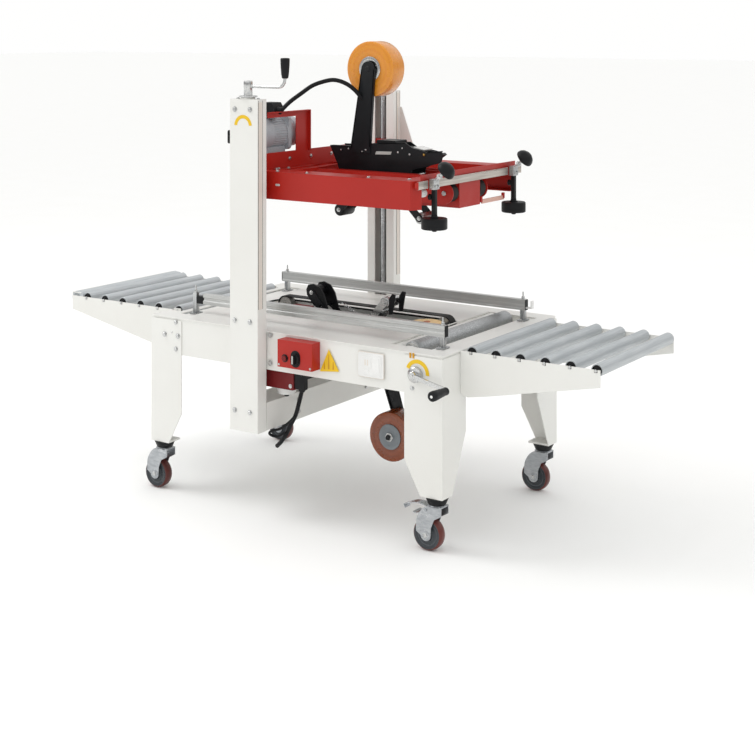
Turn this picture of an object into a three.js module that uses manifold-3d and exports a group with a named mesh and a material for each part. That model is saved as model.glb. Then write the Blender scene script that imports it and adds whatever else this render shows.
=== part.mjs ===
// Carton sealer with top and bottom drive belts, roller tables at both ends and a taping head that
// rides up and down between two columns.  Millimetres.  +X is the way cartons travel, +Z is up.
// Every piece is first built in the machine frame (X = 0 on the columns, Y = 0 on the taping line,
// Z = 0 on the floor); the whole group is then moved so that the origin is the footprint's centre.
import * as THREE from 'three';
import { mergeVertices } from 'three/addons/utils/BufferGeometryUtils.js';
import Module from 'manifold-3d';

const wasm = await Module();
wasm.setup();

// ---------------------------------------------------------------- driving dimensions
const SHEET = 3; // folded sheet steel
const GAP = 0.5; // clearance between bolted pieces
const BED = { x0: -440, x1: 720, half: 371.5, low: 472, deck: 597 };
const RIM = 4; // how far the deck stands proud of the bed walls
const TRACK = { half: 308, low: 586, top: 592, outfeed: [634, 678], infeed: [-364, -320] };
const SLOT = { x0: -250, x1: 491, half: 109 }; // opening for the lower belts and taping unit
const LEG = { width: 135, depth: 140, low: 166, top: 588, footX: 78, footY: 59 };
const COLUMN = { width: 115, depth: 45, inner: 376, low: 273, top: 1349, wall: 4, lip: 32 };
const BEAM = { half: 55, low: 273, top: 363 };
const ROLLER = { r: 19, half: 262, z: 594, axle: 5 };
const OUTFEED_ROW = { first: 37, pitch: 83, count: 6 }; // distances from the bed's end
const INFEED_ROW = { first: 67.5, pitch: 86.75, count: 5 };
const INFEED_BED_ROLLER = -26.5; // the sixth infeed roller sits in the bed itself
const WING = { y: 268, deep: 458, tip: 547, outfeed: 466, infeed: 484, tie: 14 };
const CASTER = { wheelR: 50, tread: 32, trail: 28, inset: 36 };
const HEAD = { x0: -100, x1: 600, half: 335, low: 1020, top: 1110 };
const BELT = { y: 70, width: 35, r: 31, thick: 3.6 };
const UPPER_BELT = { x0: -60, x1: 569, z: 1051 };
const LOWER_BELT = { x0: -209, x1: 456, z: 586 };
const UNIT = { half: 45, wall: 3 }; // taping unit: half width over its side plates
const UPPER_ROLL = { x: 232, z: 1441, r: 93.5 };
const LOWER_ROLL = { x: 313, z: 215, r: 82 };
const TAPE_HALF = 36;
const RAIL = { y: 260, x0: -360, x1: 668, low: 620, top: 665, thick: 20 };
const PRESSER = { x: 622, y: 255, wheelR: 41 };
const CRANK = { y: 398, reach: 151, hubR: 12.5 };

const PAINT = { white: 0xf1efe9, red: 0xa8321f };
const SEGMENTS = 24;

// ---------------------------------------------------------------- shape helpers
const toXZ = new THREE.Matrix4().makeBasis(
  new THREE.Vector3(1, 0, 0), new THREE.Vector3(0, 0, 1), new THREE.Vector3(0, -1, 0));
const toYZ = new THREE.Matrix4().makeBasis(
  new THREE.Vector3(0, 1, 0), new THREE.Vector3(0, 0, 1), new THREE.Vector3(1, 0, 0));

function solid(geometry) {
  const bare = geometry.clone();
  bare.deleteAttribute('normal');
  bare.deleteAttribute('uv');
  const merged = mergeVertices(bare, 1e-4);
  return new wasm.Manifold(new wasm.Mesh({
    numProp: 3,
    vertProperties: Float32Array.from(merged.attributes.position.array),
    triVerts: Uint32Array.from(merged.index.array),
  }));
}

const join = (...pieces) => pieces.flat().reduce((whole, piece) => whole.add(piece));
const cut = (body, ...tools) => tools.flat().reduce((rest, tool) => rest.subtract(tool), body);

function block(x0, x1, y0, y1, z0, z1) {
  const box = new THREE.BoxGeometry(x1 - x0, y1 - y0, z1 - z0);
  return solid(box.translate((x0 + x1) / 2, (y0 + y1) / 2, (z0 + z1) / 2));
}

function outline(points) {
  return new THREE.Shape(points.map(([a, b]) => new THREE.Vector2(a, b)));
}

function slab(shape, depth, segments = 3) {
  return new THREE.ExtrudeGeometry(shape, { depth, bevelEnabled: false, curveSegments: segments });
}

// an outline drawn in X and Z, filling y0 to y1
function plateXZ(shape, y0, y1) {
  return solid(slab(shape, y1 - y0).applyMatrix4(toXZ).translate(0, y1, 0));
}

// an outline drawn in Y and Z, filling x0 to x1
function plateYZ(shape, x0, x1) {
  return solid(slab(shape, x1 - x0).applyMatrix4(toYZ).translate(x0, 0, 0));
}

// an outline drawn in X and Y, filling z0 to z1
function plateXY(shape, z0, z1) {
  return solid(slab(shape, z1 - z0).translate(0, 0, z0));
}

function roundedRect(a0, a1, b0, b1, r) {
  const s = new THREE.Shape();
  s.absarc(a1 - r, b1 - r, r, 0, Math.PI / 2);
  s.absarc(a0 + r, b1 - r, r, Math.PI / 2, Math.PI);
  s.absarc(a0 + r, b0 + r, r, Math.PI, Math.PI * 1.5);
  s.absarc(a1 - r, b0 + r, r, Math.PI * 1.5, Math.PI * 2);
  return s;
}

// a cylinder or cone frustum from one end to the other along a main axis
function rod(axis, [x, y, z], r, length, { r2 = r, segments = SEGMENTS } = {}) {
  const g = new THREE.CylinderGeometry(r2, r, length, segments);
  if (axis === 'x') g.rotateZ(-Math.PI / 2);
  if (axis === 'z') g.rotateX(Math.PI / 2);
  const shift = { x: [length / 2, 0, 0], y: [0, length / 2, 0], z: [0, 0, length / 2] }[axis];
  return solid(g.translate(x + shift[0], y + shift[1], z + shift[2]));
}

// a turned shape about the Y axis, from [radius, height] pairs that start and end on the axis
function lathe(profile, segments = 20) {
  return solid(new THREE.LatheGeometry(profile.map(([r, h]) => new THREE.Vector2(r, h)), segments));
}

function rodY(x, z, r, y0, y1, segments = SEGMENTS) {
  return rod('y', [x, y0, z], r, y1 - y0, { segments });
}

// a round bar that follows a curve through the given points
function bentRod(points, r, steps = 12) {
  const path = new THREE.CatmullRomCurve3(points.map((p) => new THREE.Vector3(...p)));
  const section = new THREE.Shape().absarc(0, 0, r, 0, Math.PI * 2);
  return solid(new THREE.ExtrudeGeometry(section, {
    steps, extrudePath: path, bevelEnabled: false, curveSegments: 8 }));
}

const mirrorY = (body) => body.mirror([0, 1, 0]);
const bothSides = (body) => join(body, mirrorY(body));

// ---------------------------------------------------------------- assembly
const machine = new THREE.Group();
const bounds = new THREE.Box3();

function part(name, body, color, roughness, metalness) {
  const { vertProperties, triVerts } = body.getMesh();
  const geometry = new THREE.BufferGeometry();
  geometry.setAttribute('position', new THREE.BufferAttribute(Float32Array.from(vertProperties), 3));
  geometry.setIndex(Array.from(triVerts));
  geometry.computeVertexNormals();
  const mesh = new THREE.Mesh(geometry, new THREE.MeshStandardMaterial({ color, roughness, metalness }));
  mesh.name = name;
  machine.add(mesh);
  bounds.expandByObject(mesh);
}

const painted = (name, body) => part(name, body, PAINT.white, 0.45, 0.1);
const red = (name, body) => part(name, body, PAINT.red, 0.4, 0.1);
const black = (name, body) => part(name, body, 0x1d1f21, 0.5, 0.1);
const steel = (name, body) => part(name, body, 0xa8abad, 0.35, 0.85);
const rubber = (name, body) => part(name, body, 0x18191a, 0.8, 0);

// ---------------------------------------------------------------- bed
// Where a leg's inner edge and the bed meet, the leg sheets lie outside the bed walls.
const DECK_EDGE = BED.half + RIM;
const INFEED_END = BED.x0 - RIM;
const OUTFEED_END = BED.x1 + RIM;
const SHAFT_R = 8;
const BED_ROLLER = { x: 568, r: 30, z: 581, half: 294 };

const NOSE = { x: 510, r: 15, z: 580 };

// a plate with a hole for a roller's axle, tied to the underside of the deck
function hanger(x, z, axleR, y, tieY) {
  const plate = block(x - 15, x + 15, y, y + SHEET, z - 28, Math.max(z + axleR + 4, BED.deck - 1));
  const tie = block(x - 15, x + 15, y + 1, tieY, BED.deck - 8, BED.deck - 1);
  return cut(join(plate, tie), rodY(x, z, axleR + 0.6, y - 1, tieY - 4, 16));
}

function bedFrame() {
  const walls = cut(
    block(BED.x0, BED.x1, -BED.half, BED.half, BED.low, BED.deck - 1),
    block(BED.x0 + SHEET, BED.x1 - SHEET, -BED.half + SHEET, BED.half - SHEET, BED.low - 1, BED.deck));
  const deck = plateXY(
    roundedRect(INFEED_END, OUTFEED_END, -DECK_EDGE, DECK_EDGE, 14), BED.deck - SHEET, BED.deck);
  const gap = ([x0, x1]) => block(x0, x1, -TRACK.half, TRACK.half, BED.low, BED.deck + 1);
  const gaps = [gap([NOSE.x - NOSE.r, TRACK.outfeed[1] + 6]), gap([TRACK.infeed[0] - 6, TRACK.infeed[1] + 6])];
  const unitSlot = block(SLOT.x0, SLOT.x1, -SLOT.half, SLOT.half, BED.low, BED.deck + 1);
  const smallX = INFEED_END - GAP - INFEED_BED_ROLLER;
  const hangers = [
    hanger(BED_ROLLER.x, BED_ROLLER.z, SHAFT_R, BED_ROLLER.half + 3, TRACK.half + 12),
    hanger(smallX, ROLLER.z, ROLLER.axle, WING.y, WING.y + 18)];
  const smallGap = block(
    smallX - ROLLER.r - 2, smallX + ROLLER.r + 3, -WING.y - 8, WING.y + 8, ROLLER.z - ROLLER.r - 4, BED.deck + 1);
  // bearing plates that hang from the slot's edges and carry the lower belts' shafts
  const bearingPlate = cut(
    block(SLOT.x0 - 10, SLOT.x1 - 4, SLOT.half, SLOT.half + SHEET, 546, BED.deck - 1),
    [LOWER_BELT.x0, LOWER_BELT.x1].map(
      (x) => rodY(x, LOWER_BELT.z, SHAFT_R + 0.6, SLOT.half - 1, SLOT.half + SHEET + 1, 16)));
  // strips that the guide brackets slide along, and a round bar ahead of the bed roller
  const track = ([x0, x1]) => block(x0, x1, -TRACK.half - 12, TRACK.half + 12, TRACK.low, TRACK.top);
  const riser = ([x0, x1]) => block(x0, x1, -TRACK.half - 12, -TRACK.half - 1, TRACK.low, BED.deck - 1);
  const nose = rodY(NOSE.x, NOSE.z, NOSE.r, -TRACK.half - 12, TRACK.half + 12);
  const noseEnd = block(NOSE.x - 8, NOSE.x + 8, -TRACK.half - 12, -TRACK.half - 1, NOSE.z, BED.deck - 1);
  const tracks = [TRACK.outfeed, TRACK.infeed].map((x) => join(track(x), bothSides(riser(x))));
  const frame = cut(join(walls, deck), gaps, smallGap, unitSlot);
  return join(frame, tracks, nose, bothSides(noseEnd), bothSides(join(...hangers)),
    bothSides(bearingPlate));
}
painted('bed_frame', bedFrame());

function bedRoller() {
  const drum = rodY(BED_ROLLER.x, BED_ROLLER.z, BED_ROLLER.r, -BED_ROLLER.half, BED_ROLLER.half, 28);
  const axle = rodY(BED_ROLLER.x, BED_ROLLER.z, SHAFT_R, -BED_ROLLER.half - 8, BED_ROLLER.half + 8, 16);
  return join(drum, axle);
}
part('bed_roller', bedRoller(), 0x9aa0a3, 0.4, 0.3);

// One leg: a front sheet and a side sheet folded from one blank, both tapering to the caster plate.
// Drawn for the front outfeed corner; the other legs are mirror images.
function frontOutfeedLeg() {
  const outerX = OUTFEED_END - GAP;
  const innerX = outerX - LEG.width;
  const outerY = -(BED.half + GAP + SHEET);
  const taper = LEG.low + 106;
  const faceSheet = plateXZ(outline([
    [innerX, LEG.top], [innerX, taper], [outerX - LEG.footX, LEG.low],
    [outerX, LEG.low], [outerX, LEG.top]]), outerY, outerY + SHEET);
  const sideTaper = LEG.low + 180;
  const sideSheet = plateYZ(outline([
    [outerY, LEG.low], [outerY + LEG.footY, LEG.low], [outerY + LEG.depth, sideTaper],
    [outerY + LEG.depth, LEG.top], [outerY, LEG.top]]), outerX - SHEET, outerX);
  const footPlate = block(outerX - LEG.footX, outerX, outerY, outerY + LEG.footY, LEG.low, LEG.low + 6);
  return join(faceSheet, sideSheet, footPlate);
}
const bedCentre = (BED.x0 + BED.x1) / 2;
const mirrorEnds = (body) => body.translate([-bedCentre, 0, 0]).mirror([1, 0, 0]).translate([bedCentre, 0, 0]);
const leg = frontOutfeedLeg();
painted('front_outfeed_leg', leg);
painted('rear_outfeed_leg', mirrorY(leg));
painted('front_infeed_leg', mirrorEnds(leg));
painted('rear_infeed_leg', mirrorY(mirrorEnds(leg)));

// ---------------------------------------------------------------- swivel casters
const CASTER_X = { outfeed: OUTFEED_END - CASTER.inset, infeed: INFEED_END + CASTER.inset };
const CASTER_Y = BED.half - 26;
const AXLE_R = 6;

function casterFork(x, y) {
  const wheelX = x - CASTER.trail;
  const cheek = new THREE.Shape();
  cheek.moveTo(x - 24, 150);
  cheek.lineTo(wheelX - 15, CASTER.wheelR + 4);
  cheek.absarc(wheelX, CASTER.wheelR, 15, Math.PI * 0.9, Math.PI * 1.85);
  cheek.lineTo(x + 26, 128);
  cheek.lineTo(x + 26, 150);
  const side = CASTER.tread / 2 + 3;
  const cheeks = [-1, 1].map((s) => plateXZ(cheek, y + s * (side + 2) - 2, y + s * (side + 2) + 2));
  const crown = block(x - 24, x + 26, y - side - 4, y + side + 4, 144, 150);
  const axle = rodY(wheelX, CASTER.wheelR, AXLE_R, y - side - 6, y + side + 6, 12);
  const bearing = rod('z', [x, y, 148], 25, 10);
  const cup = rod('z', [x, y, 157], 20, LEG.low - GAP - 157);
  return join(...cheeks, crown, axle, bearing, cup);
}

function casterWheel(x, y) {
  const wheelX = x - CASTER.trail;
  const { wheelR, tread } = CASTER;
  // the tyre's lowest facet is level, so that it stands on the floor on a flat face
  const facet = Math.cos(Math.PI / SEGMENTS);
  const tyre = rodY(0, 0, wheelR / facet, -tread / 2, tread / 2).rotate([0, 180 / SEGMENTS, 0]);
  const recess = rodY(0, 0, wheelR * 0.68, tread / 2 - 4, tread / 2 + 1);
  const hub = rodY(0, 0, 14, -tread / 2 - 2, tread / 2 + 2, 16);
  const bore = rodY(0, 0, AXLE_R + 0.6, -tread, tread, 12);
  const wheel = cut(join(cut(tyre, recess, mirrorY(recess)), hub), bore);
  return wheel.translate([wheelX, y, wheelR]);
}

// the foot pedal that locks the front outfeed caster
function brakePedal(x, y) {
  const bar = block(x - 94, x - 20, y - 13, y + 13, 118, 122);
  const lip = block(x - 98, x - 90, y - 15, y + 15, 116, 128);
  const shank = block(x - 30, x - 18, y - CASTER.tread / 2 - 6, y + CASTER.tread / 2 + 6, 112, 120);
  return join(bar, lip, shank);
}

for (const [end, x] of Object.entries(CASTER_X)) {
  for (const [side, y] of [['front', -CASTER_Y], ['rear', CASTER_Y]]) {
    const braked = end === 'outfeed' && side === 'front';
    const fork = casterFork(x, y);
    steel(`${side}_${end}_caster_fork`, braked ? join(fork, brakePedal(x, y)) : fork);
    part(`${side}_${end}_caster_wheel`, casterWheel(x, y), 0x7a2a1c, 0.55, 0);
  }
}

// ---------------------------------------------------------------- roller tables
// A roller table's side plate, drawn from the bed (x = 0) outwards; each axle drops into a notch.
function wingSide(reach, row) {
  const plate = plateXZ(outline([
    [0, BED.deck], [0, WING.deep + 18], [6, WING.deep + 5], [26, WING.deep], [90, WING.deep + 11],
    [reach, WING.tip], [reach, BED.deck]]), -WING.y - SHEET, -WING.y);
  const notches = Array.from({ length: row.count }, (_, i) => {
    const x = row.first + i * row.pitch;
    const half = ROLLER.axle + 0.5;
    return block(x - half, x + half, -WING.y - SHEET - 1, -WING.y + 1, ROLLER.z - half, BED.deck + 1);
  });
  return cut(plate, notches);
}

function wing(reach, row, tieAtTip) {
  const sides = bothSides(wingSide(reach, row));
  const root = block(0, SHEET, -WING.y - 1, WING.y + 1, WING.deep + 22, ROLLER.z - ROLLER.r - 6);
  const pieces = [sides, root];
  if (tieAtTip) {
    const high = BED.deck + WING.tie;
    const half = WING.y + SHEET;
    pieces.push(block(reach - SHEET, reach, -half, half, WING.tip, high));
    pieces.push(block(reach - 44, reach, -half, half, high - SHEET, high));
  }
  return join(...pieces);
}

function tableRoller(x) {
  const tube = rodY(x, ROLLER.z, ROLLER.r, -ROLLER.half, ROLLER.half);
  const axle = rodY(x, ROLLER.z, ROLLER.axle, -WING.y - SHEET - 2, WING.y + SHEET + 2, 12);
  return join(tube, axle);
}

const outfeedStart = OUTFEED_END + GAP;
const infeedStart = INFEED_END - GAP;
painted('outfeed_roller_frame', wing(WING.outfeed, OUTFEED_ROW, false).translate([outfeedStart, 0, 0]));
painted('infeed_roller_frame', wing(WING.infeed, INFEED_ROW, true).mirror([1, 0, 0])
  .translate([infeedStart, 0, 0]));

const greyTube = (name, body) => part(name, body, 0xb4babd, 0.5, 0.2);
greyTube('infeed_roller_1', tableRoller(infeedStart - INFEED_BED_ROLLER));
for (let i = 0; i < INFEED_ROW.count; i += 1) {
  greyTube(`infeed_roller_${i + 2}`, tableRoller(infeedStart - INFEED_ROW.first - i * INFEED_ROW.pitch));
}
for (let i = 0; i < OUTFEED_ROW.count; i += 1) {
  greyTube(`outfeed_roller_${i + 1}`, tableRoller(outfeedStart + OUTFEED_ROW.first + i * OUTFEED_ROW.pitch));
}

// ---------------------------------------------------------------- columns, lift screws, lower beam
// Each column is a channel that opens towards the machine; drawn here for the rear side.
function rearColumn() {
  const { width, depth, inner, low, top, wall, lip } = COLUMN;
  const half = width / 2;
  const shell = block(-half, half, inner, inner + depth, low, top);
  const hollow = block(-half + wall, half - wall, inner + wall, inner + depth - wall, low + wall, top - wall);
  const mouth = block(-half + lip, half - lip, inner - 1, inner + wall + 1, low + wall, top - wall);
  const flange = rod('z', [0, CRANK.y, top - 1], 22, 6);
  const bore = rod('z', [0, CRANK.y, top - 20], 14.6, 40);
  return cut(join(shell, flange), hollow, mouth, bore);
}
const column = rearColumn();
painted('rear_column', column);
painted('front_column', mirrorY(column));

const SCREW_R = 14;
function liftScrew(side, topZ) {
  const foot = COLUMN.low + COLUMN.wall + GAP;
  return rod('z', [0, side * CRANK.y, foot], SCREW_R, topZ - foot);
}
steel('rear_lift_screw', liftScrew(1, COLUMN.top + 12));

function liftCrank() {
  const hubZ = COLUMN.top + 6;
  const hub = rod('z', [0, -CRANK.y, hubZ], CRANK.hubR, 53);
  const armZ = hubZ + 35;
  const arm = bentRod([
    [6, -CRANK.y, armZ], [60, -CRANK.y, armZ], [CRANK.reach - 18, -CRANK.y, armZ],
    [CRANK.reach - 2, -CRANK.y, armZ + 12], [CRANK.reach, -CRANK.y, armZ + 36]], 4.5, 18);
  const grip = rod('z', [CRANK.reach, -CRANK.y, armZ + 28], 11, 66, { r2: 15 });
  return join(liftScrew(-1, hubZ + 8), hub, arm, grip);
}
steel('lift_crank', liftCrank());

function lowerBeam() {
  const end = BED.half - GAP;
  return cut(
    block(-BEAM.half, BEAM.half, -end, end, BEAM.low, BEAM.top),
    block(-BEAM.half + SHEET, BEAM.half - SHEET, -end + SHEET, end - SHEET, BEAM.low - 1, BEAM.top - SHEET));
}
painted('lower_cross_beam', lowerBeam());

// ---------------------------------------------------------------- controls and side crank
const BOX = { x0: 133, x1: 270, front: -415, back: -(BED.half + GAP), low: 500, top: 587 };
const SWITCH = { x: 205, z: 532 };
const BUTTON = { x: 163, z: 530 };

function controlBox() {
  const shell = cut(
    block(BOX.x0, BOX.x1, BOX.front, BOX.back, BOX.low, BOX.top),
    block(BOX.x0 + SHEET, BOX.x1 - SHEET, BOX.front + SHEET, BOX.back + 1, BOX.low + SHEET, BOX.top - SHEET));
  return cut(shell, rodY(SWITCH.x, SWITCH.z, 6.5, BOX.front - 1, BOX.front + 6, 16),
    rodY(BUTTON.x, BUTTON.z, 6.5, BOX.front - 1, BOX.front + 6, 16));
}
red('control_box', controlBox());

const face = BOX.front - GAP;
black('selector_switch', join(
  rodY(SWITCH.x, SWITCH.z, 16, face - 7, face),
  block(SWITCH.x - 4.5, SWITCH.x + 4.5, face - 17, face - 6, SWITCH.z - 15, SWITCH.z + 15),
  rodY(SWITCH.x, SWITCH.z, 6, face - 1, BOX.front + 20, 16)));
black('push_button', join(
  rodY(BUTTON.x, BUTTON.z, 9, face - 7, face - 3.2, 16),
  rodY(BUTTON.x, BUTTON.z, 6, face - 4, BOX.front + 20, 16)));

const SIDE_CRANK = { x: 632, z: 533, tipX: 755, tipZ: 505 };
function railCrank() {
  const inner = -(BED.half + SHEET + 2 * GAP);
  const angle = Math.atan2(SIDE_CRANK.tipZ - SIDE_CRANK.z, SIDE_CRANK.tipX - SIDE_CRANK.x);
  const length = Math.hypot(SIDE_CRANK.tipX - SIDE_CRANK.x, SIDE_CRANK.tipZ - SIDE_CRANK.z);
  const hub = rodY(0, 0, 24, inner - 18, inner);
  const boss = rodY(0, 0, 12, inner - 28, inner - 17, 16);
  const bar = plateXZ(roundedRect(-10, length + 9, -8, 8, 7.9), inner - 27, inner - 21);
  const grip = rod('y', [length, inner - 112, 0], 13.5, 87, { r2: 10 });
  const turned = join(hub, boss, bar, grip).rotate([0, -THREE.MathUtils.radToDeg(angle), 0]);
  return turned.translate([SIDE_CRANK.x, 0, SIDE_CRANK.z]);
}
steel('rail_crank', railCrank());

// ---------------------------------------------------------------- carton guide rails
function guideRail() {
  const { y, x0, x1, low, top, thick } = RAIL;
  const bar = block(x0, x1, -y - thick / 2, -y + thick / 2, low, top);
  const base = TRACK.top + GAP;
  const foot = (x) => join(
    block(x - 11, x + 11, -y - 9, -y + 9, base, low + 4),
    block(x - 14, x + 14, -y - 20, -y + 20, base, base + 5));
  const nut = (x) => rod('z', [x, -y, top - 1], 6, 12, { segments: 12 });
  const [infeed, outfeed] = [x0 + 18, x1 - 12];
  return join(bar, foot(infeed), foot(outfeed), nut(infeed), nut(outfeed));
}
const rail = guideRail();
steel('front_guide_rail', rail);
steel('rear_guide_rail', mirrorY(rail));

// ---------------------------------------------------------------- drive belts and their shafts
const GUARD_Y = BELT.y + BELT.width + 3;
function beltLoop({ x0, x1, z }, side) {
  const loop = (r) => roundedRect(x0 - r, x1 + r, z - r, z + r, r - 0.01);
  const shape = loop(BELT.r);
  shape.holes.push(loop(BELT.r - BELT.thick));
  const y0 = side > 0 ? BELT.y : -BELT.y - BELT.width;
  return plateXZ(shape, y0, y0 + BELT.width);
}

function pulleyShaft(x, z) {
  const r = BELT.r - BELT.thick - 0.4;
  const pulley = (s) => rodY(x, z, r, s > 0 ? BELT.y + 1 : -BELT.y - BELT.width + 1,
    s > 0 ? BELT.y + BELT.width - 1 : -BELT.y - 1);
  return join(rodY(x, z, SHAFT_R, -GUARD_Y - SHEET - 3, GUARD_Y + SHEET + 3, 16), pulley(1), pulley(-1));
}

for (const [level, belt] of [['upper', UPPER_BELT], ['lower', LOWER_BELT]]) {
  rubber(`${level}_front_belt`, beltLoop(belt, -1));
  rubber(`${level}_rear_belt`, beltLoop(belt, 1));
  steel(`${level}_drive_shaft`, pulleyShaft(belt.x0, belt.z));
  steel(`${level}_idler_shaft`, pulleyShaft(belt.x1, belt.z));
}

// ---------------------------------------------------------------- head frame
const CHASSIS_Y = BELT.y - 4;

function sideBeam() {
  const { x0, x1, half, low, top } = HEAD;
  const web = block(x0, x1 - 16, -half, -half + SHEET, low, top);
  const topFlange = plateXY(outline([
    [x0, -half], [x1 - 16, -half], [x1 + 3, -half + 34], [x1 + 3, -half + 78], [x0, -half + 78]]),
  top - SHEET, top);
  const lowFlange = block(x0, x1 - 16, -half, -half + 36, low, low + SHEET);
  const corner = plateXY(outline([
    [x1 - 19, -half], [x1 - 16, -half], [x1 + 3, -half + 34], [x1 + 3, -half + 37], [x1, -half + 37],
    [x1 - 19, -half + 3]]), low, top);
  const lip = block(x0, x1 + 3, -half + 75, -half + 78, top - 22, top);
  return join(web, topFlange, lowFlange, corner, lip);
}

// slides in the column's channel; the lift screw's nut is inside it
function carriage() {
  const { inner, wall } = COLUMN;
  const tongue = block(-20, 20, -inner - wall - 4, -HEAD.half + 2, HEAD.low + 8, HEAD.top - 8);
  const slider = block(-50, 50, -inner - 37, -inner - wall - 3, HEAD.low, HEAD.top + 60);
  const nut = rod('z', [0, -CRANK.y, HEAD.low - 10], SCREW_R + 0.6, 200);
  return cut(join(tongue, slider), nut);
}

function beltHousing({ x0, x1, z }) {
  const shaftHoles = [x0, x1].map((x) => rodY(x, z, SHAFT_R + 0.6, -GUARD_Y - 10, GUARD_Y + 10, 16));
  const chassis = cut(
    block(x0 - 52, HEAD.x1, -CHASSIS_Y, CHASSIS_Y, 1001, HEAD.top - 8),
    block(x0 - 49, HEAD.x1 - SHEET, -CHASSIS_Y + SHEET, CHASSIS_Y - SHEET, 1000, HEAD.top));
  const guard = plateXZ(roundedRect(x0 - 35, x1 + 35, z - 35, z + 35, 34.9), -GUARD_Y - SHEET, -GUARD_Y);
  const guardTab = block(x0 + 40, x1 - 40, -GUARD_Y - SHEET, -GUARD_Y, z + 30, HEAD.top - 6);
  return cut(join(chassis, bothSides(join(guard, guardTab))), shaftHoles);
}

// wall across the head behind the taping unit, with a folded frame over the drive motor
const MOTOR = { x0: -124, x1: -6, y0: -298, y1: -160, low: 1166, top: 1284 };
function motorGuard() {
  const reach = HEAD.half - 32;
  const wall = block(0, SHEET, -reach, reach, HEAD.top - SHEET, 1165);
  const frameTop = MOTOR.top + 16;
  const edge = -72; // where the motor frame's post ends
  const arch = plateYZ(outline([
    [MOTOR.y0, frameTop], [MOTOR.y0, frameTop - 19], [-143, frameTop - 19], [-143, 1160],
    [edge, 1160], [edge, frameTop]]), 0, SHEET);
  const fold = join(
    block(0, 13, MOTOR.y0, edge, frameTop - SHEET, frameTop),
    block(0, 13, edge - SHEET, edge, 1160, frameTop));
  const base = block(HEAD.x0, 30, MOTOR.y0, -CHASSIS_Y + 1, HEAD.top - SHEET, HEAD.top);
  return join(wall, arch, fold, base, mirrorY(base));
}

function presserBar() {
  const bar = block(HEAD.x1 + 5, HEAD.x1 + 11, -330, 330, 1084, 1108);
  const standOff = (y) => block(HEAD.x1 - 2, HEAD.x1 + 6, y - 12, y + 12, 1088, 1104);
  return join(bar, standOff(-318), standOff(0), standOff(318));
}

function headFrame() {
  const { x0, x1, half, top } = HEAD;
  const crossTop = top - 2;
  const endLip = block(x1, x1 + SHEET, -half + 34, half - 34, top - 28, top + 16);
  const endFold = block(x1 - 40, x1 + SHEET, -half + 60, half - 60, top - SHEET, top);
  const infeedTie = block(x0, x0 + 40, -half + 1, half - 1, top - 26, crossTop);
  const middleTies = [40, 520].map((x) => block(x, x + 30, -half + 70, half - 70, top - 12, crossTop));
  const frame = join(bothSides(sideBeam()), bothSides(carriage()), beltHousing(UPPER_BELT),
    endLip, endFold, infeedTie, middleTies, motorGuard(), presserBar());
  // room for the taping unit between the chassis plates
  return cut(frame, block(62, 532, -UNIT.half - 6, UNIT.half + 6, 990, top + 5));
}
red('head_frame', headFrame());

function upperMotor() {
  const { x0, x1, y0, y1, low, top } = MOTOR;
  const body = plateXZ(roundedRect(x0, x1, low, top, 34), y0, y1);
  const flange = plateXZ(roundedRect(x0 + 2, x1 - 2, low + 2, top - 2, 12), y1 - 14, y1 + 6);
  const feet = [x0 + 16, x1 - 38].map((x) => block(x, x + 22, y0 + 30, y1 - 10, HEAD.top + GAP, low + 14));
  const terminalBox = block(x0 + 44, x0 + 88, y0 + 36, y0 + 96, top - 2, top + 42);
  const gearbox = rodY((x0 + x1) / 2, (low + top) / 2, 52, y1 + 4, -86);
  return join(body, flange, feet, terminalBox, gearbox);
}
part('upper_motor', upperMotor(), 0x8d9499, 0.45, 0.5);

// ---------------------------------------------------------------- pressers on the head's outfeed end
// The clamp block slides along the presser bar, and its dome knob locks it.
function presser() {
  const { x, y, wheelR } = PRESSER;
  const front = HEAD.x1 + 11 + GAP;
  const clamp = block(front, front + 20, -y - 16, -y + 16, 1080, 1113);
  const post = block(x - 7, x + 7, -y - 7, -y + 7, 988, 1082);
  const wheel = rod('z', [x, -y, 957], wheelR, 35, { segments: 28 });
  const tip = rod('z', [x, -y, 949], 7, 10, { segments: 12 });
  const dome = lathe([[0, 0], [28, 0], [31, 4], [29, 17], [20, 27], [0, 32]]);
  const stem = rod('y', [0, -50, 0], 6, 52, { segments: 12 });
  const knob = join(dome, stem).rotate([90, 0, 0]).rotate([0, 50, 0]).translate([front + 50, -y, 1138]);
  return join(clamp, post, wheel, tip, knob);
}
const pressUnit = presser();
black('front_presser', pressUnit);
black('rear_presser', mirrorY(pressUnit));

// ---------------------------------------------------------------- taping units
// Side plates, their spacers and the arm that carries the tape roll, drawn for the upper unit.
const UPPER_PIVOT = { lay: [178, 1030], wipe: [352, 1030] };
const LOWER_PIVOT = { lay: [64, 577], wipe: [212, 577] };
const PIVOT_R = 6;

function pivotBores({ lay, wipe }) {
  return [lay, wipe].map(([x, z]) => rodY(x, z, PIVOT_R + 0.6, -UNIT.half - 1, UNIT.half + 1, 16));
}

function unitSidePlate(points) {
  return plateXZ(outline(points), -UNIT.half, -UNIT.half + UNIT.wall);
}

function rollArm(rootX, rootZ, tipX, tipZ, rootHalf, tipHalf) {
  const arm = new THREE.Shape();
  const up = Math.sign(tipZ - rootZ);
  arm.moveTo(rootX - rootHalf, rootZ);
  arm.lineTo(rootX + rootHalf, rootZ);
  arm.lineTo(tipX + tipHalf, tipZ);
  arm.absarc(tipX, tipZ, tipHalf, 0, up * Math.PI, up < 0);
  const plate = plateXZ(arm, -UNIT.half - 4, -UNIT.half + 1);
  return join(plate, rodY(tipX, tipZ, 9, -UNIT.half - 7, TAPE_HALF + 4, 16));
}

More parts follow.
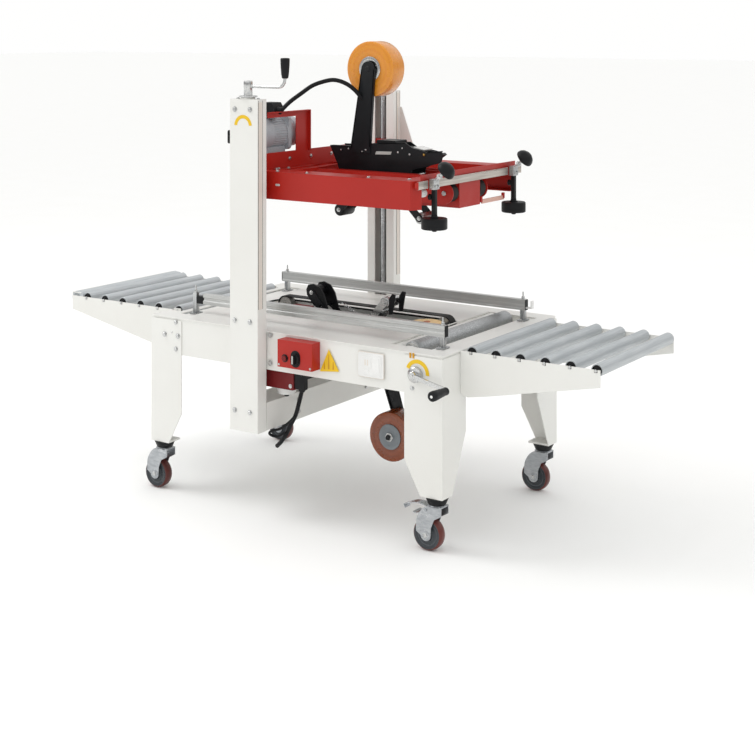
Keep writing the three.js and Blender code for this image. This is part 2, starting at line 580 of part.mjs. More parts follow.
function upperUnit() {
  const feet = [
    [384, 1040], [368, 1014], [336, 1014], [300, 1050], [230, 1050], [194, 1014], [162, 1014], [130, 1050], [103, 1119]];
  const nearPlate = unitSidePlate([
    [73, 1179], [157, 1180], [271, 1194], [379, 1200], [406, 1184], [464, 1172], [518, 1179],
    [526, 1167], [518, 1140], [406, 1112], ...feet]);
  const farPlate = mirrorY(unitSidePlate([
    [73, 1179], [157, 1180], [271, 1194], [345, 1196], [372, 1180], [440, 1172], [470, 1166],
    [462, 1136], [406, 1112], ...feet]));
  const spacers = [[92, 1160], [240, 1165], [448, 1152], [395, 1090]].map(
    ([x, z]) => rodY(x, z, 7, -UNIT.half + 1, UNIT.half - 1, 12));
  const arm = rollArm(202, 1160, UPPER_ROLL.x, UPPER_ROLL.z, 39, 26);
  return cut(join(nearPlate, farPlate, spacers, arm), pivotBores(UPPER_PIVOT));
}
black('upper_taping_unit', upperUnit());

function lowerUnit() {
  const plate = unitSidePlate([
    [-62, 594], [-62, 560], [40, 500], [352, 500], [384, 560], [384, 594]]);
  const spacers = [[-48, 572], [160, 512], [366, 572]].map(
    ([x, z]) => rodY(x, z, 7, -UNIT.half + 1, UNIT.half - 1, 12));
  const arm = mirrorY(rollArm(205, 540, LOWER_ROLL.x, LOWER_ROLL.z, 30, 24));
  return cut(join(bothSides(plate), spacers, arm), pivotBores(LOWER_PIVOT));
}
black('lower_taping_unit', lowerUnit());

function tapeRoll({ x, z, r }) {
  const tape = rodY(x, z, r, -TAPE_HALF, TAPE_HALF, 40);
  const hub = rodY(x, z, 38, -TAPE_HALF - 3, TAPE_HALF + 2);
  return cut(join(tape, hub), rodY(x, z, 9.7, -TAPE_HALF - 10, TAPE_HALF + 10, 16));
}
part('upper_tape_roll', tapeRoll(UPPER_ROLL), 0xd9962f, 0.25, 0);
part('lower_tape_roll', tapeRoll(LOWER_ROLL), 0xa85a24, 0.25, 0);

// A sprung arm: two cheeks from the pivot to a roller that lays or wipes the tape.
const ARM_Y = 37;
function tapingArm([pivotX, pivotZ], [rollerX, rollerZ], rollerR) {
  const along = new THREE.Vector2(rollerX - pivotX, rollerZ - pivotZ);
  const length = along.length();
  const turn = -THREE.MathUtils.radToDeg(along.angle());
  const cheek = plateXZ(roundedRect(-13, length + 13, -13, 13, 12.9), -ARM_Y, -ARM_Y + UNIT.wall);
  const roller = rodY(length, 0, rollerR, -ARM_Y + UNIT.wall - 0.2, ARM_Y - UNIT.wall + 0.2, 20);
  const pivot = rodY(0, 0, PIVOT_R, -UNIT.half - 2, UNIT.half + 2, 12);
  return join(bothSides(cheek), roller, pivot).rotate([0, turn, 0]).translate([pivotX, 0, pivotZ]);
}
black('upper_laying_arm', tapingArm(UPPER_PIVOT.lay, [104, 958], 21));
black('upper_wiping_arm', tapingArm(UPPER_PIVOT.wipe, [428, 952], 19));
black('lower_laying_arm', tapingArm(LOWER_PIVOT.lay, [-12, 664], 21));
black('lower_wiping_arm', tapingArm(LOWER_PIVOT.wipe, [290, 660], 19));

// ---------------------------------------------------------------- lower drive motor
red('lower_motor', join(
  block(20, 186, -350, -210, 410, BED.deck - SHEET - GAP),
  rod('z', [82, -300, 384], 34, 28),
  rodY(94, 500, 46, -212, -130)));

// ---------------------------------------------------------------- origin at the footprint's centre
const centre = bounds.getCenter(new THREE.Vector3());
machine.position.set(-centre.x, -centre.y, 0);
const object = new THREE.Group();
object.add(machine);

export default object;
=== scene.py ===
"""Looks of a carton sealer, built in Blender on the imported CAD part.

Every length in this file is in millimetres of the machine frame: X = 0 on the two columns and positive
towards the outfeed, Y = 0 on the taping line and negative on the operator's side, Z = 0 on the floor.
place() turns such a point into the row frame; the origin comes from the two columns of the CAD part.
"""

from math import atan2, cos, degrees, hypot, pi, radians, sin

import bmesh
import bpy
from mathutils import Matrix, Vector
from mathutils.geometry import tessellate_polygon


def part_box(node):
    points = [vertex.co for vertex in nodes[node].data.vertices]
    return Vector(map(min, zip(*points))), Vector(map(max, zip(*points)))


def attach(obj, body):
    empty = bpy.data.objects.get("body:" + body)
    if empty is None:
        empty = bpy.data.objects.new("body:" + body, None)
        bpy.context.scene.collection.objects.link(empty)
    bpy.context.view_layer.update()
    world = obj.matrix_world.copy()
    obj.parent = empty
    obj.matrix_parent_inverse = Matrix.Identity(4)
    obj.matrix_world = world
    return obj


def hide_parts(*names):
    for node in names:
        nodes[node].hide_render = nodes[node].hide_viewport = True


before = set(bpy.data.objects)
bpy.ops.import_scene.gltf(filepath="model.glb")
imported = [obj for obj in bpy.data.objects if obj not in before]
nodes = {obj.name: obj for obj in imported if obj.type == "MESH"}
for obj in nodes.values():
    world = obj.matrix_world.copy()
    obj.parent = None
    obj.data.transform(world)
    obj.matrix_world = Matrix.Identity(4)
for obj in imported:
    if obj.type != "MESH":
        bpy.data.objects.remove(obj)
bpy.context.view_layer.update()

ROOT = "machine_base"
HEAD = "taping_head"
APRON = -375.5  # outer face of the bed's front apron
COLUMN_FACE = -421  # outer face of the front column
BEAM_FACE = -335  # outer face of the head's front beam
CHEEK = 45  # outer face of a taping unit's side plates
CREASE = radians(34)  # edges sharper than this get a bevel

front_low, rear_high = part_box("front_column")[0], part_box("rear_column")[1]
ORIGIN = Vector(((front_low.x + rear_high.x) / 2, (front_low.y + rear_high.y) / 2, 0))


def link(thing):
    bpy.context.scene.collection.objects.link(thing)


def place(x, y, z):
    return Vector((x, y, z)) * 0.001 + ORIGIN


def span(node):
    """(x0, x1, y0, y1, z0, z1) of a CAD node in machine millimetres."""
    low, high = ((corner - ORIGIN) * 1000 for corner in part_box(node))
    return low.x, high.x, low.y, high.y, low.z, high.z


# ---- outlines
def circle(x, y, radius, steps=24):
    angles = [2 * pi * i / steps for i in range(steps)]
    return [(x + radius * cos(a), y + radius * sin(a)) for a in angles]


def arc(x, y, radius, start, end, steps=12):
    angles = [radians(start + (end - start) * i / steps) for i in range(steps + 1)]
    return [(x + radius * cos(a), y + radius * sin(a)) for a in angles]


def rounded(x0, x1, y0, y1, radius, steps=4):
    corners = [(x1 - radius, y1 - radius, 0), (x0 + radius, y1 - radius, 90),
               (x0 + radius, y0 + radius, 180), (x1 - radius, y0 + radius, 270)]
    return [p for x, y, a in corners for p in arc(x, y, radius, a, a + 90, steps)]


def stadium(x0, y0, x1, y1, radius, steps=10):
    """A long hole's outline round the line from (x0, y0) to (x1, y1)."""
    angle = degrees(atan2(y1 - y0, x1 - x0))
    return (arc(x1, y1, radius, angle - 90, angle + 90, steps)
            + arc(x0, y0, radius, angle + 90, angle + 270, steps))


def smoothed(points, steps=8):
    """Catmull-Rom curve through the points."""
    ends = [points[0], *points, points[-1]]
    result = []
    for i in range(len(points) - 1):
        a, b, c, d = (Vector(p) for p in ends[i:i + 4])
        for step in range(steps):
            t = step / steps
            result.append(0.5 * ((2 * b) + (c - a) * t + (2 * a - 5 * b + 4 * c - d) * t ** 2
                                 + (3 * b - a - 3 * c + d) * t ** 3))
    return result + [Vector(points[-1])]


def helix(start, end, radius, turns, steps=14):
    """A spring's wire from start to end."""
    start, end = Vector(start), Vector(end)
    turn = (end - start).to_track_quat("Z", "Y")
    length = (end - start).length
    count = int(turns * steps)
    angles = [2 * pi * turns * i / count for i in range(count + 1)]
    return [start + turn @ Vector((radius * cos(a), radius * sin(a), length * i / count))
            for i, a in enumerate(angles)]


AXES = {"x": (1, 0, 0), "y": (0, 1, 0), "z": (0, 0, 1), "-x": (-1, 0, 0), "-y": (0, -1, 0)}
PLANES = {
    "xz": lambda u, v, depth: (u, depth, v),
    "yz": lambda u, v, depth: (depth, u, v),
    "xy": lambda u, v, depth: (u, v, depth),
}


class Shape:
    """Mesh under construction. Each face gets the finish that was in use when it was added."""

    def __init__(self, finish):
        self.mesh = bmesh.new()
        self.finishes = []
        self.move = Matrix.Identity(4)
        self.use(finish)

    def use(self, finish):
        if finish not in self.finishes:
            self.finishes.append(finish)
        self.current = self.finishes.index(finish)
        return self

    def vertex(self, point):
        return self.mesh.verts.new(self.move @ Vector(point))

    def face(self, verts):
        face = self.mesh.faces.new(verts)
        face.material_index = self.current

    def prism(self, outline, low, high, plane="xz", holes=()):
        """An outline with holes, pulled from low to high across its plane."""
        at = PLANES[plane]
        rings = [outline, *(hole[::-1] for hole in holes)]
        lower = [[self.vertex(at(u, v, low)) for u, v in ring] for ring in rings]
        upper = [[self.vertex(at(u, v, high)) for u, v in ring] for ring in rings]
        for down, up in zip(lower, upper):
            for i in range(len(down)):
                self.face([down[i - 1], down[i], up[i], up[i - 1]])
        if not holes:
            self.face(lower[0])
            self.face(upper[0])
            return
        triangles = tessellate_polygon([[Vector((u, v, 0)) for u, v in ring] for ring in rings])
        for layer in (lower, upper):
            flat = [v for ring in layer for v in ring]
            for triangle in triangles:
                self.face([flat[i] for i in triangle])

    def box(self, x0, x1, y0, y1, z0, z1):
        self.prism([(x0, y0), (x1, y0), (x1, y1), (x0, y1)], z0, z1, "xy")

    def turned(self, centre, axis, profile, steps=32):
        """A lathe shape: profile holds (distance along the axis, radius) pairs."""
        direction = Vector(AXES[axis] if isinstance(axis, str) else axis)
        turn = direction.to_track_quat("Z", "Y")
        rings = []
        for along, radius in profile:
            count = steps if radius > 0 else 1
            rings.append([
                self.vertex(Vector(centre) + turn @ Vector((u, v, along)))
                for u, v in circle(0, 0, radius, steps)[:count]])
        self.skin(rings, steps)

    def skin(self, rings, steps):
        """Walls from ring to ring, and a cap on the first and the last."""
        for a, b in zip(rings, rings[1:]):
            for i in range(steps):
                corners = [a[(i - 1) % len(a)], a[i % len(a)], b[i % len(b)], b[(i - 1) % len(b)]]
                unique = list(dict.fromkeys(corners))
                if len(unique) > 2:
                    self.face(unique)
        for ring in (rings[0], rings[-1]):
            if len(ring) > 1:
                self.face(ring)

    def tube(self, path, radius, sides=10):
        """A round bar or cable along a path."""
        points = [Vector(p) for p in path]
        ahead = (points[1] - points[0]).normalized()
        across = ahead.orthogonal().normalized()
        rings = []
        for i, point in enumerate(points):
            ahead = (points[min(i + 1, len(points) - 1)] - points[max(i - 1, 0)]).normalized()
            across = (across - ahead * across.dot(ahead)).normalized()
            up = ahead.cross(across)
            rings.append([self.vertex(point + across * u + up * v) for u, v in circle(0, 0, radius, sides)])
        self.skin(rings, sides)

    def bolt(self, centre, axis, radius=6, washer=True):
        """A socket-head screw, its head pointing along the axis."""
        start = 0
        if washer:
            self.turned(centre, axis, [(0, radius * 1.5), (1.4, radius * 1.5)], 20)
            start = 1.4
        tall = radius * 0.7
        self.turned(centre, axis, [
            (start, radius), (start + tall * 0.7, radius), (start + tall, radius * 0.8),
            (start + tall, radius * 0.5)], 18)
        socket = [(start + tall - 0.2, radius * 0.46), (start + tall + 0.1, radius * 0.4)]
        self.turned(centre, axis, socket, 6)

    def mirrored(self):
        """Adds a copy of everything so far on the other side of the taping line."""
        everything = self.mesh.verts[:] + self.mesh.edges[:] + self.mesh.faces[:]
        copy = bmesh.ops.duplicate(self.mesh, geom=everything)
        for element in copy["geom"]:
            if isinstance(element, bmesh.types.BMVert):
                element.co.y = -element.co.y

    def piece(self, name, body, bevel, replaced=(), slot=None, mirror=False):
        """Finishes the mesh as one piece riding on a CAD body; its slot argument is not used."""
        for vert in self.mesh.verts:
            if mirror:
                vert.co.y = -vert.co.y
            vert.co = place(*vert.co)
        bmesh.ops.recalc_face_normals(self.mesh, faces=self.mesh.faces[:])
        data = bpy.data.meshes.new(name)
        self.mesh.to_mesh(data)
        self.mesh.free()
        for finish in self.finishes:
            data.materials.append(FINISHES[finish])
        shade(data)
        made = bpy.data.objects.new(name, data)
        link(made)
        if bevel:
            soften(made, bevel)
        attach(made, body)
        if replaced:
            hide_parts(*replaced)


def shade(data):
    data.polygons.foreach_set("use_smooth", [True] * len(data.polygons))
    data.set_sharp_from_angle(angle=CREASE)


def soften(made, width):
    bevel = made.modifiers.new("edges", "BEVEL")
    bevel.width = width * 0.001
    bevel.segments = 2
    bevel.limit_method = "ANGLE"
    bevel.angle_limit = CREASE
    bevel.harden_normals = True
    bevel.miter_outer = "MITER_ARC"


# ---- finishes
def rgb(code):
    """Linear colour from a hex display colour."""
    channels = [int(code[i:i + 2], 16) / 255 for i in (0, 2, 4)]
    linear = [v / 12.92 if v <= 0.04045 else ((v + 0.055) / 1.055) ** 2.4 for v in channels]
    return *linear, 1.0


class Graph:
    """Shader nodes of a material or of the world."""

    def __init__(self, owner):
        owner.use_nodes = True
        self.tree = owner.node_tree

    def plug(self, socket, value):
        if isinstance(value, bpy.types.NodeSocket):
            self.tree.links.new(value, socket)
        else:
            socket.default_value = value

    def add(self, kind, inputs=None, **settings):
        node = self.tree.nodes.new(kind)
        for key, value in settings.items():
            setattr(node, key, value)
        for key, value in (inputs or {}).items():
            self.plug(node.inputs[key], value)
        return node

    def mix(self, factor, first, second):
        first, second = (rgb(c) if isinstance(c, str) else c for c in (first, second))
        return self.add("ShaderNodeMix", {0: factor, 6: first, 7: second}, data_type="RGBA").outputs[2]


FINISHES = {}


class Finish(Graph):
    """A procedural material made of a few layers. Colours are hex display colours."""

    def __init__(self, name):
        self.material = bpy.data.materials.new(name)
        super().__init__(self.material)
        FINISHES[name] = self.material
        self.tree.nodes.clear()
        self.shader = self.add("ShaderNodeBsdfPrincipled")
        self.add("ShaderNodeOutputMaterial", {"Surface": self.shader.outputs["BSDF"]})
        self.coordinates = self.add("ShaderNodeTexCoord").outputs["Object"]

    def set(self, **inputs):
        for key, value in inputs.items():
            self.plug(self.shader.inputs[key.replace("_", " ")], value)

    def noise(self, scale, detail=3.0, stretch=(1, 1, 1)):
        mapped = self.add("ShaderNodeMapping", {"Vector": self.coordinates, "Scale": stretch})
        return self.add("ShaderNodeTexNoise", {
            "Vector": mapped.outputs["Vector"], "Scale": scale, "Detail": detail}).outputs["Fac"]

    def between(self, value, low, high, start=0.35, end=0.65):
        ranges = {"Value": value, "From Min": start, "From Max": end, "To Min": low, "To Max": high}
        return self.add("ShaderNodeMapRange", ranges).outputs["Result"]

    def maths(self, operation, first, second=0.0):
        return self.add("ShaderNodeMath", {0: first, 1: second}, operation=operation).outputs[0]

    def edge(self, radius):
        """1 on edges, 0 on flats: for worn edges, and on metal and plastic also for a painted highlight along
        them.
        """
        bevel = self.add("ShaderNodeBevel", {"Radius": radius * 0.001}, samples=3)
        normal = self.add("ShaderNodeNewGeometry").outputs["Normal"]
        pair = {0: bevel.outputs["Normal"], 1: normal}
        dot = self.add("ShaderNodeVectorMath", pair, operation="DOT_PRODUCT")
        return self.between(dot.outputs["Value"], 1.0, 0.0, 0.75, 0.995)

    def bump(self, height, strength, distance=0.0004):
        node = self.add("ShaderNodeBump", {"Height": height, "Strength": strength, "Distance": distance})
        self.set(Normal=node.outputs["Normal"])

    def rings(self, centre, axis, scale):
        """Fine rings round an axis, as on the side of a wound roll."""
        mapped = self.add("ShaderNodeMapping", {"Vector": self.coordinates, "Location": -centre})
        wave = self.add("ShaderNodeTexWave", {
            "Vector": mapped.outputs["Vector"], "Scale": scale, "Distortion": 0.4, "Detail": 1.0},
            wave_type="RINGS", rings_direction=axis)
        return wave.outputs["Fac"]


def paint(name, light, dark, worn, roughness=0.34, coat=0.25):
    """Powder coat: faint clouds of tone, orange-peel bump, rubbed edges and a little dust."""
    made = Finish(name)
    clouds = made.between(made.noise(2.3, 5), 0, 1, 0.3, 0.7)
    base = made.mix(clouds, light, dark)
    specks = made.between(made.noise(160, 4), 0, 0.35, 0.63, 0.75)
    base = made.mix(specks, base, dark)
    rubbed = made.maths("MULTIPLY", made.edge(2.2), made.between(made.noise(45, 5), 0, 0.35, 0.46, 0.7))
    made.set(Base_Color=made.mix(rubbed, base, worn))
    made.set(Roughness=made.between(made.noise(9, 4), roughness - 0.06, roughness + 0.1))
    made.set(Coat_Weight=coat, Coat_Roughness=0.3, Specular_IOR_Level=0.3)
    made.bump(made.noise(700, 2), 0.08, 0.0003)


def metal(name, light, dark, roughness, stretch, bump=0.25, scale=260, metallic=1.0):
    """Drawn, turned or plated metal; stretch draws its grain out along one axis."""
    made = Finish(name)
    grain = made.noise(scale, 4, stretch)
    smears = made.noise(7, 4)
    tone = made.mix(made.between(grain, 0, 1), light, dark)
    tone = made.mix(made.between(smears, 0, 0.45, 0.45, 0.7), tone, dark)
    # edges mixed towards the light tone: edge wear, and a painted highlight along the edges
    tone = made.mix(made.maths("MULTIPLY", made.edge(1.5), 0.5), tone, light)
    made.set(Base_Color=tone, Metallic=metallic)
    grained = made.between(grain, roughness, roughness + 0.08)
    made.set(Roughness=made.maths("ADD", made.between(smears, -0.05, 0.1), grained))
    made.bump(grain, bump, 0.0002)


def plastic(name, light, dark, roughness=0.45, grain=420, bump=0.3, coat=0.0):
    """Moulded plastic or rubber: a fine leathery grain, pale edges that are scuffs and a painted highlight,
    and pale dust.
    """
    made = Finish(name)
    tone = made.mix(made.between(made.noise(6, 4), 0, 1), dark, light)
    dust = made.maths("MULTIPLY", made.between(made.noise(38, 6), 0, 0.5, 0.5, 0.8), 0.5)
    tone = made.mix(dust, tone, light)
    # pale edges: scuffs, and a painted highlight along the edges
    scuffs_and_edge_highlight = made.maths("MULTIPLY", made.edge(1.6), 0.4)
    pale = *(min(1.0, channel * 2.2 + 0.01) for channel in rgb(light)[:3]), 1.0
    made.set(Base_Color=made.mix(scuffs_and_edge_highlight, tone, pale))
    made.set(Roughness=made.between(made.noise(14, 5), roughness - 0.08, roughness + 0.14))
    made.set(Coat_Weight=coat, Specular_IOR_Level=0.22)
    made.bump(made.noise(grain, 3), bump, 0.0003)


def wound_tape(name, centre, light, dark):
    """Packing tape on a roll: fine wound layers on the sides, a glossy film round the outside."""
    made = Finish(name)
    layers = made.rings(centre, "Y", 190)
    broad = made.rings(centre, "Y", 17)
    tone = made.mix(made.between(layers, 0, 0.5, 0.2, 0.9), light, dark)
    tone = made.mix(made.between(broad, 0, 0.35, 0.3, 0.9), tone, dark)
    bands = made.noise(30, 3, (0.2, 3.0, 0.2))
    tone = made.mix(made.between(bands, 0, 0.3), tone, dark)
    made.set(Base_Color=tone, Subsurface_Weight=0.12, Subsurface_Radius=(0.012, 0.006, 0.002))
    made.set(Subsurface_Scale=0.6, Coat_Weight=0.4, Coat_Roughness=0.16)
    made.set(Roughness=made.between(made.noise(22, 3), 0.22, 0.36))
    made.bump(layers, 0.25, 0.0002)


def make_finishes():
    paint("white_paint", "e6e6e2", "e1e0db", "ccc9c0")
    # beige_shade is a darker beige, used as painted shade on the columns' side faces and for the rim round
    # the socket plate
    paint("beige_shade", "e2dbd2", "dad2c8", "ccc4b8")
    paint("red_paint", "b02218", "a41d14", "962c20", 0.36, 0.12)
    paint("dark_red_paint", "78181a", "661214", "541e1c", 0.4, 0.05)
    paint("pale_strip", "deb6a8", "cea092", "c8968c", 0.4, 0.1)
    paint("decal_amber", "ecc422", "deb216", "bea03c", 0.4, 0.2)
    paint("decal_ochre", "ce9610", "be860c", "aa8228", 0.4, 0.2)
    paint("grey_paint", "8e9498", "767c82", "aaacac", 0.42, 0.1)
    metal("bright_steel", "d6d6d4", "babcbd", 0.2, (1, 1, 1), 0.08)
    metal("brushed_y", "cecfce", "a0a2a4", 0.26, (1, 0.03, 1))
    metal("brushed_z", "d2d3d3", "989b9e", 0.2, (1, 1, 0.03))
    metal("zinc_plate", "bec1c4", "a6aaae", 0.26, (0.3, 1, 1), 0.06, 160)
    metal("rail_aluminium", "cecfcd", "bebfbe", 0.4, (0.03, 1, 1), 0.12, 300, 0.85)
    metal("roller_tube", "c0c4c6", "b4b9bc", 0.4, (1, 0.04, 1), 0.06, 260, 0.4)
    metal("knurled", "bcbebf", "969899", 0.36, (1, 0.3, 1), 0.5, 420, 0.8)
    metal("motor_casing", "b8bdc2", "a8aeb4", 0.4, (1, 1, 1), 0.1, 300, 0.2)
    metal("cast_hub", "a8a6a0", "84827e", 0.48, (1, 1, 1), 0.5, 260, 0.55)
    metal("brass", "cea458", "a67c3a", 0.3, (1, 1, 1))
    metal("bronzed_bar", "cec8c0", "b0a8a0", 0.3, (1, 0.03, 1), 0.15, 200)
    plastic("black_plastic", "1a1b1d", "101113", 0.38)
    plastic("black_steel", "1a1c1f", "111316", 0.34, 600, 0.12, 0.08)
    plastic("belt_rubber", "2c2b2a", "1a1919", 0.62, 240, 0.7)
    plastic("cable_black", "16171a", "0e0f11", 0.44, 500, 0.2)
    plastic("wheel_tread", "68322c", "4e221e", 0.36, 300, 0.2, 0.3)
    plastic("wheel_side", "42464a", "2e3236", 0.3, 300, 0.15, 0.3)
    plastic("socket_plastic", "ececea", "dededc", 0.32, 300, 0.15, 0.3)
    plastic("switch_grey", "c4c4c0", "aaaaa6", 0.4)
    plastic("cream_rim", "f4d6a0", "e4c084", 0.4, 200, 0.2)
    plastic("guide_wood", "ce7032", "ac5422", 0.4, 200, 0.4, 0.2)
    plastic("cardboard", "c4aa84", "a08460", 0.75, 180, 0.8)
    for level, light, dark in (("upper", "e49c2c", "ce7a1a"), ("lower", "96481c", "703010")):
        low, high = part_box(f"{level}_tape_roll")
        wound_tape(f"{level}_tape", (low + high) / 2, light, dark)


make_finishes()


def keep(node, finish, bevel=0.8):
    """A CAD node that stays visible: welded, edges softened, painted."""
    made = nodes[node]
    made.data.materials.clear()
    made.data.materials.append(FINISHES[finish])
    weld = made.modifiers.new("weld", "WELD")
    weld.merge_threshold = 0.00002
    soften(made, bevel)


for name in ("bed_frame", "outfeed_roller_frame", "infeed_roller_frame", "lower_cross_beam"):
    keep(name, "white_paint")
for side in ("front", "rear"):
    for name in ("column", "outfeed_leg", "infeed_leg"):
        keep(f"{side}_{name}", "white_paint")
keep("control_box", "red_paint")
keep("head_frame", "red_paint")


# ---- roller tables
def roller_body(node, finish, half, rim, edge, steps):
    """The tube of a roller, 2 * half long, with rounded rims."""
    x0, x1, _, _, z0, z1 = span(node)
    x, z, r = (x0 + x1) / 2, (z0 + z1) / 2, (z1 - z0) / 2
    shape = Shape(finish)
    shape.turned((x, 0, z), "y", [
        (-half, r - rim), (-half, r - edge), (edge - half, r),
        (half - edge, r), (half, r - edge), (half, r - rim)], steps)
    return shape, x, z, r


def table_roller(node):
    half = 262
    shape, x, z, r = roller_body(node, "roller_tube", half, 3, 1.2, 40)
    for side in (-1, 1):
        shape.use("black_plastic").turned((x, side * (half - 0.5), z), (0, side, 0), [
            (0, r - 3.4), (2.2, r - 3.6), (2.8, r - 5), (1.6, 9), (4.2, 8.2), (4.4, 6.2)], 32)
        shape.use("bright_steel").turned((x, side * half, z), (0, side, 0), [(0, 5), (10, 5), (11, 4)], 6)
    shape.piece(f"{node}_tube", node, 0.3, [node])


for end in ("infeed", "outfeed"):
    for number in range(1, 7):
        table_roller(f"{end}_roller_{number}")


def bed_roller():
    half = 294
    shape, x, z, r = roller_body("bed_roller", "knurled", half, 4, 1, 48)
    shape.use("bright_steel")
    for side in (-1, 1):
        shape.turned((x, side * (half - 0.5), z), (0, side, 0), [
            (0, r - 4.2), (1.4, r - 5), (0.6, 15), (2.4, 14), (2.4, 8), (8, 8), (8.5, 7)], 32)
    shape.piece("bed_roller_drum", "bed_roller", 0.4, ["bed_roller"], slot="roller_tube")


bed_roller()


def infeed_end_bar():
    """The grey tube that closes the infeed table, laid over its end tie."""
    x0, _, y0, y1, _, z1 = span("infeed_roller_frame")
    shape = Shape("roller_tube")
    outline = ([(x0 - 1.2, z1 - 30)] + arc(x0 + 21, z1 - 20, 22.6, 180, 70, 12)
               + arc(x0 + 34, z1 - 18, 21, 60, 0, 6) + [(x0 + 55, z1 - 26), (x0 + 46, z1 - 26)]
               + arc(x0 + 22, z1 - 20, 17, 20, 170, 8) + [(x0 + 3.6, z1 - 30)])
    shape.prism(outline, y0 + 0.5, y1 - 0.5)
    shape.piece("infeed_end_bar", ROOT, 0.5)


infeed_end_bar()


def table_bolts():
    """Screws that hold the roller tables, legs and panels together."""
    shape = Shape("bright_steel")
    seat = APRON + 0.5
    for x, z, r in ((-332, 582, 6), (-382, 536, 6.5), (-323, 536, 6.5), (-332, 491, 6), (-350, 546, 3)):
        shape.bolt((x, seat, z), "-y", r, r > 4)
    for z in (586, 495):
        shape.bolt((72, seat, z), "-y", 6)
    for z in (630, 338, 1316):
        for x in (-37, 26):
            shape.bolt((x, COLUMN_FACE, z), "-y", 6)
    shape.bolt((617, seat, 489), "-y", 5)
    shape.mirrored()
    for side in (-1, 1):
        for z in (300, 338):
            shape.bolt((55.5, side * 200, z), "x", 6)
    shape.piece("frame_screws", ROOT, 0.15)


table_bolts()


# ---- casters
def caster_wheel(node, x, y, r):
    shape = Shape("wheel_tread")
    shape.turned((x, y, r), "y", [
        (-8, 40), (-15, 43), (-16, 44.6), (-14.5, 47), (-10, 49.2), (0, 50),
        (10, 49.2), (14.5, 47), (16, 44.6), (15, 43), (8, 40)], 56)
    for axis in ("-y", "y"):
        shape.use("wheel_side").turned((x, y, r), axis, [
            (12, 44.6), (16.4, 44.6), (16.6, 43), (15.4, 38), (12, 34), (11, 22),
            (14, 19), (17.6, 17), (17.6, 6.8)], 48)
        cap = [(17.2, 14), (18.4, 14), (18.6, 12), (18.6, 6.8)]
        shape.use("bright_steel").turned((x, y, r), axis, cap, 32)
    shape.piece(f"{node}_tyre", node, 0.4, [node])


def leaf(shape, curve, y, half):
    """A bent strip of sheet, 3 mm thick, along a curve of (x, z) points."""
    top = smoothed([(u, 0, v) for u, v in curve], 5)
    under = [(p.x, p.z - 3) for p in reversed(top)]
    shape.prism([(p.x, p.z) for p in top] + under, y - half, y + half)


def brake_pedal(shape, stem, y):
    shape.use("zinc_plate")
    leaf(shape, [(stem - 22, 134), (stem - 50, 141), (stem - 80, 139), (stem - 112, 128)], y, 15)
    lip = [(stem - 112, 128), (stem - 109, 125), (stem - 104, 117), (stem - 107, 116)]
    shape.prism(lip, y - 15, y + 15)
    leaf(shape, [(stem - 20, 122), (stem - 42, 118), (stem - 62, 112), (stem - 74, 114)], y, 21)
    shape.turned((stem - 28, y - 26, 126), "y", [(0, 5), (52, 5)], 12)


def caster(side, end):
    fork_node, wheel_node = f"{side}_{end}_caster_fork", f"{side}_{end}_caster_wheel"
    x0, x1, y0, y1, _, z1 = span(wheel_node)
    x, y, r = (x0 + x1) / 2, (y0 + y1) / 2, z1 / 2
    stem = x + 28
    caster_wheel(wheel_node, x, y, r)

    shape = Shape("zinc_plate")
    crown = smoothed([
        (stem + 27, 0, 141), (stem - 12, 0, 141), (x - 12, 0, r + 78),
        (x - 32, 0, r + 46), (x - 34, 0, r + 8)], 4)
    cheek = ([(p.x, p.z) for p in crown] + arc(x, r, 18, 190, 340, 12)
             + [(x + 19, r + 24), (stem + 2, r + 50), (stem + 27, r + 64)])
    hole = circle(x, r, 5, 12)
    for s in (-1, 1):
        shape.prism(cheek, y + s * 19.4, y + s * 22.2, "xz", [hole])
        shape.turned((x, y + s * 22, r), (0, s, 0), [(-1, 14), (1.6, 13), (2.2, 11), (2.2, 6)], 32)
    shape.prism(rounded(stem - 26, stem + 28, y - 22.2, y + 22.2, 10), 137.5, 141.5, "xy")
    shape.turned((stem, y, 141), "z", [(0, 27), (1, 27.5), (2.4, 26), (3, 16)], 36)
    shape.use("bright_steel").turned((x, y - 27, r), "y", [
        (0, 6), (1.5, 8.4), (6, 8.8), (6, 5), (48, 5), (48, 8.8), (53, 8.4), (54, 5)], 6)
    shape.use("black_plastic")
    shape.turned((stem, y, 143.5), "z", [(0, 20), (0.5, 27), (6, 29), (21, 36), (21.8, 36), (21.8, 20)], 36)
    if side == "front" and end == "outfeed":
        brake_pedal(shape, stem, y)
    shape.piece(f"{fork_node}_plates", fork_node, 0.6, [fork_node])


for end in ("infeed", "outfeed"):
    for side in ("front", "rear"):
        caster(side, end)


# ---- columns and lift
def screw_thread(shape, y, low, high, radius):
    """A lead screw drawn as rings of thread."""
    pitch = 5
    profile = [(low, radius - 0.7)]
    for turn in range(int((high - low) / pitch)):
        z = low + turn * pitch
        profile += [(z + 0.5, radius - 0.7), (z + 1.2, radius), (z + 4.2, radius), (z + 4.8, radius - 0.7)]
    profile.append((high, radius - 0.7))
    shape.turned((0, y, 0), "z", profile, 20)


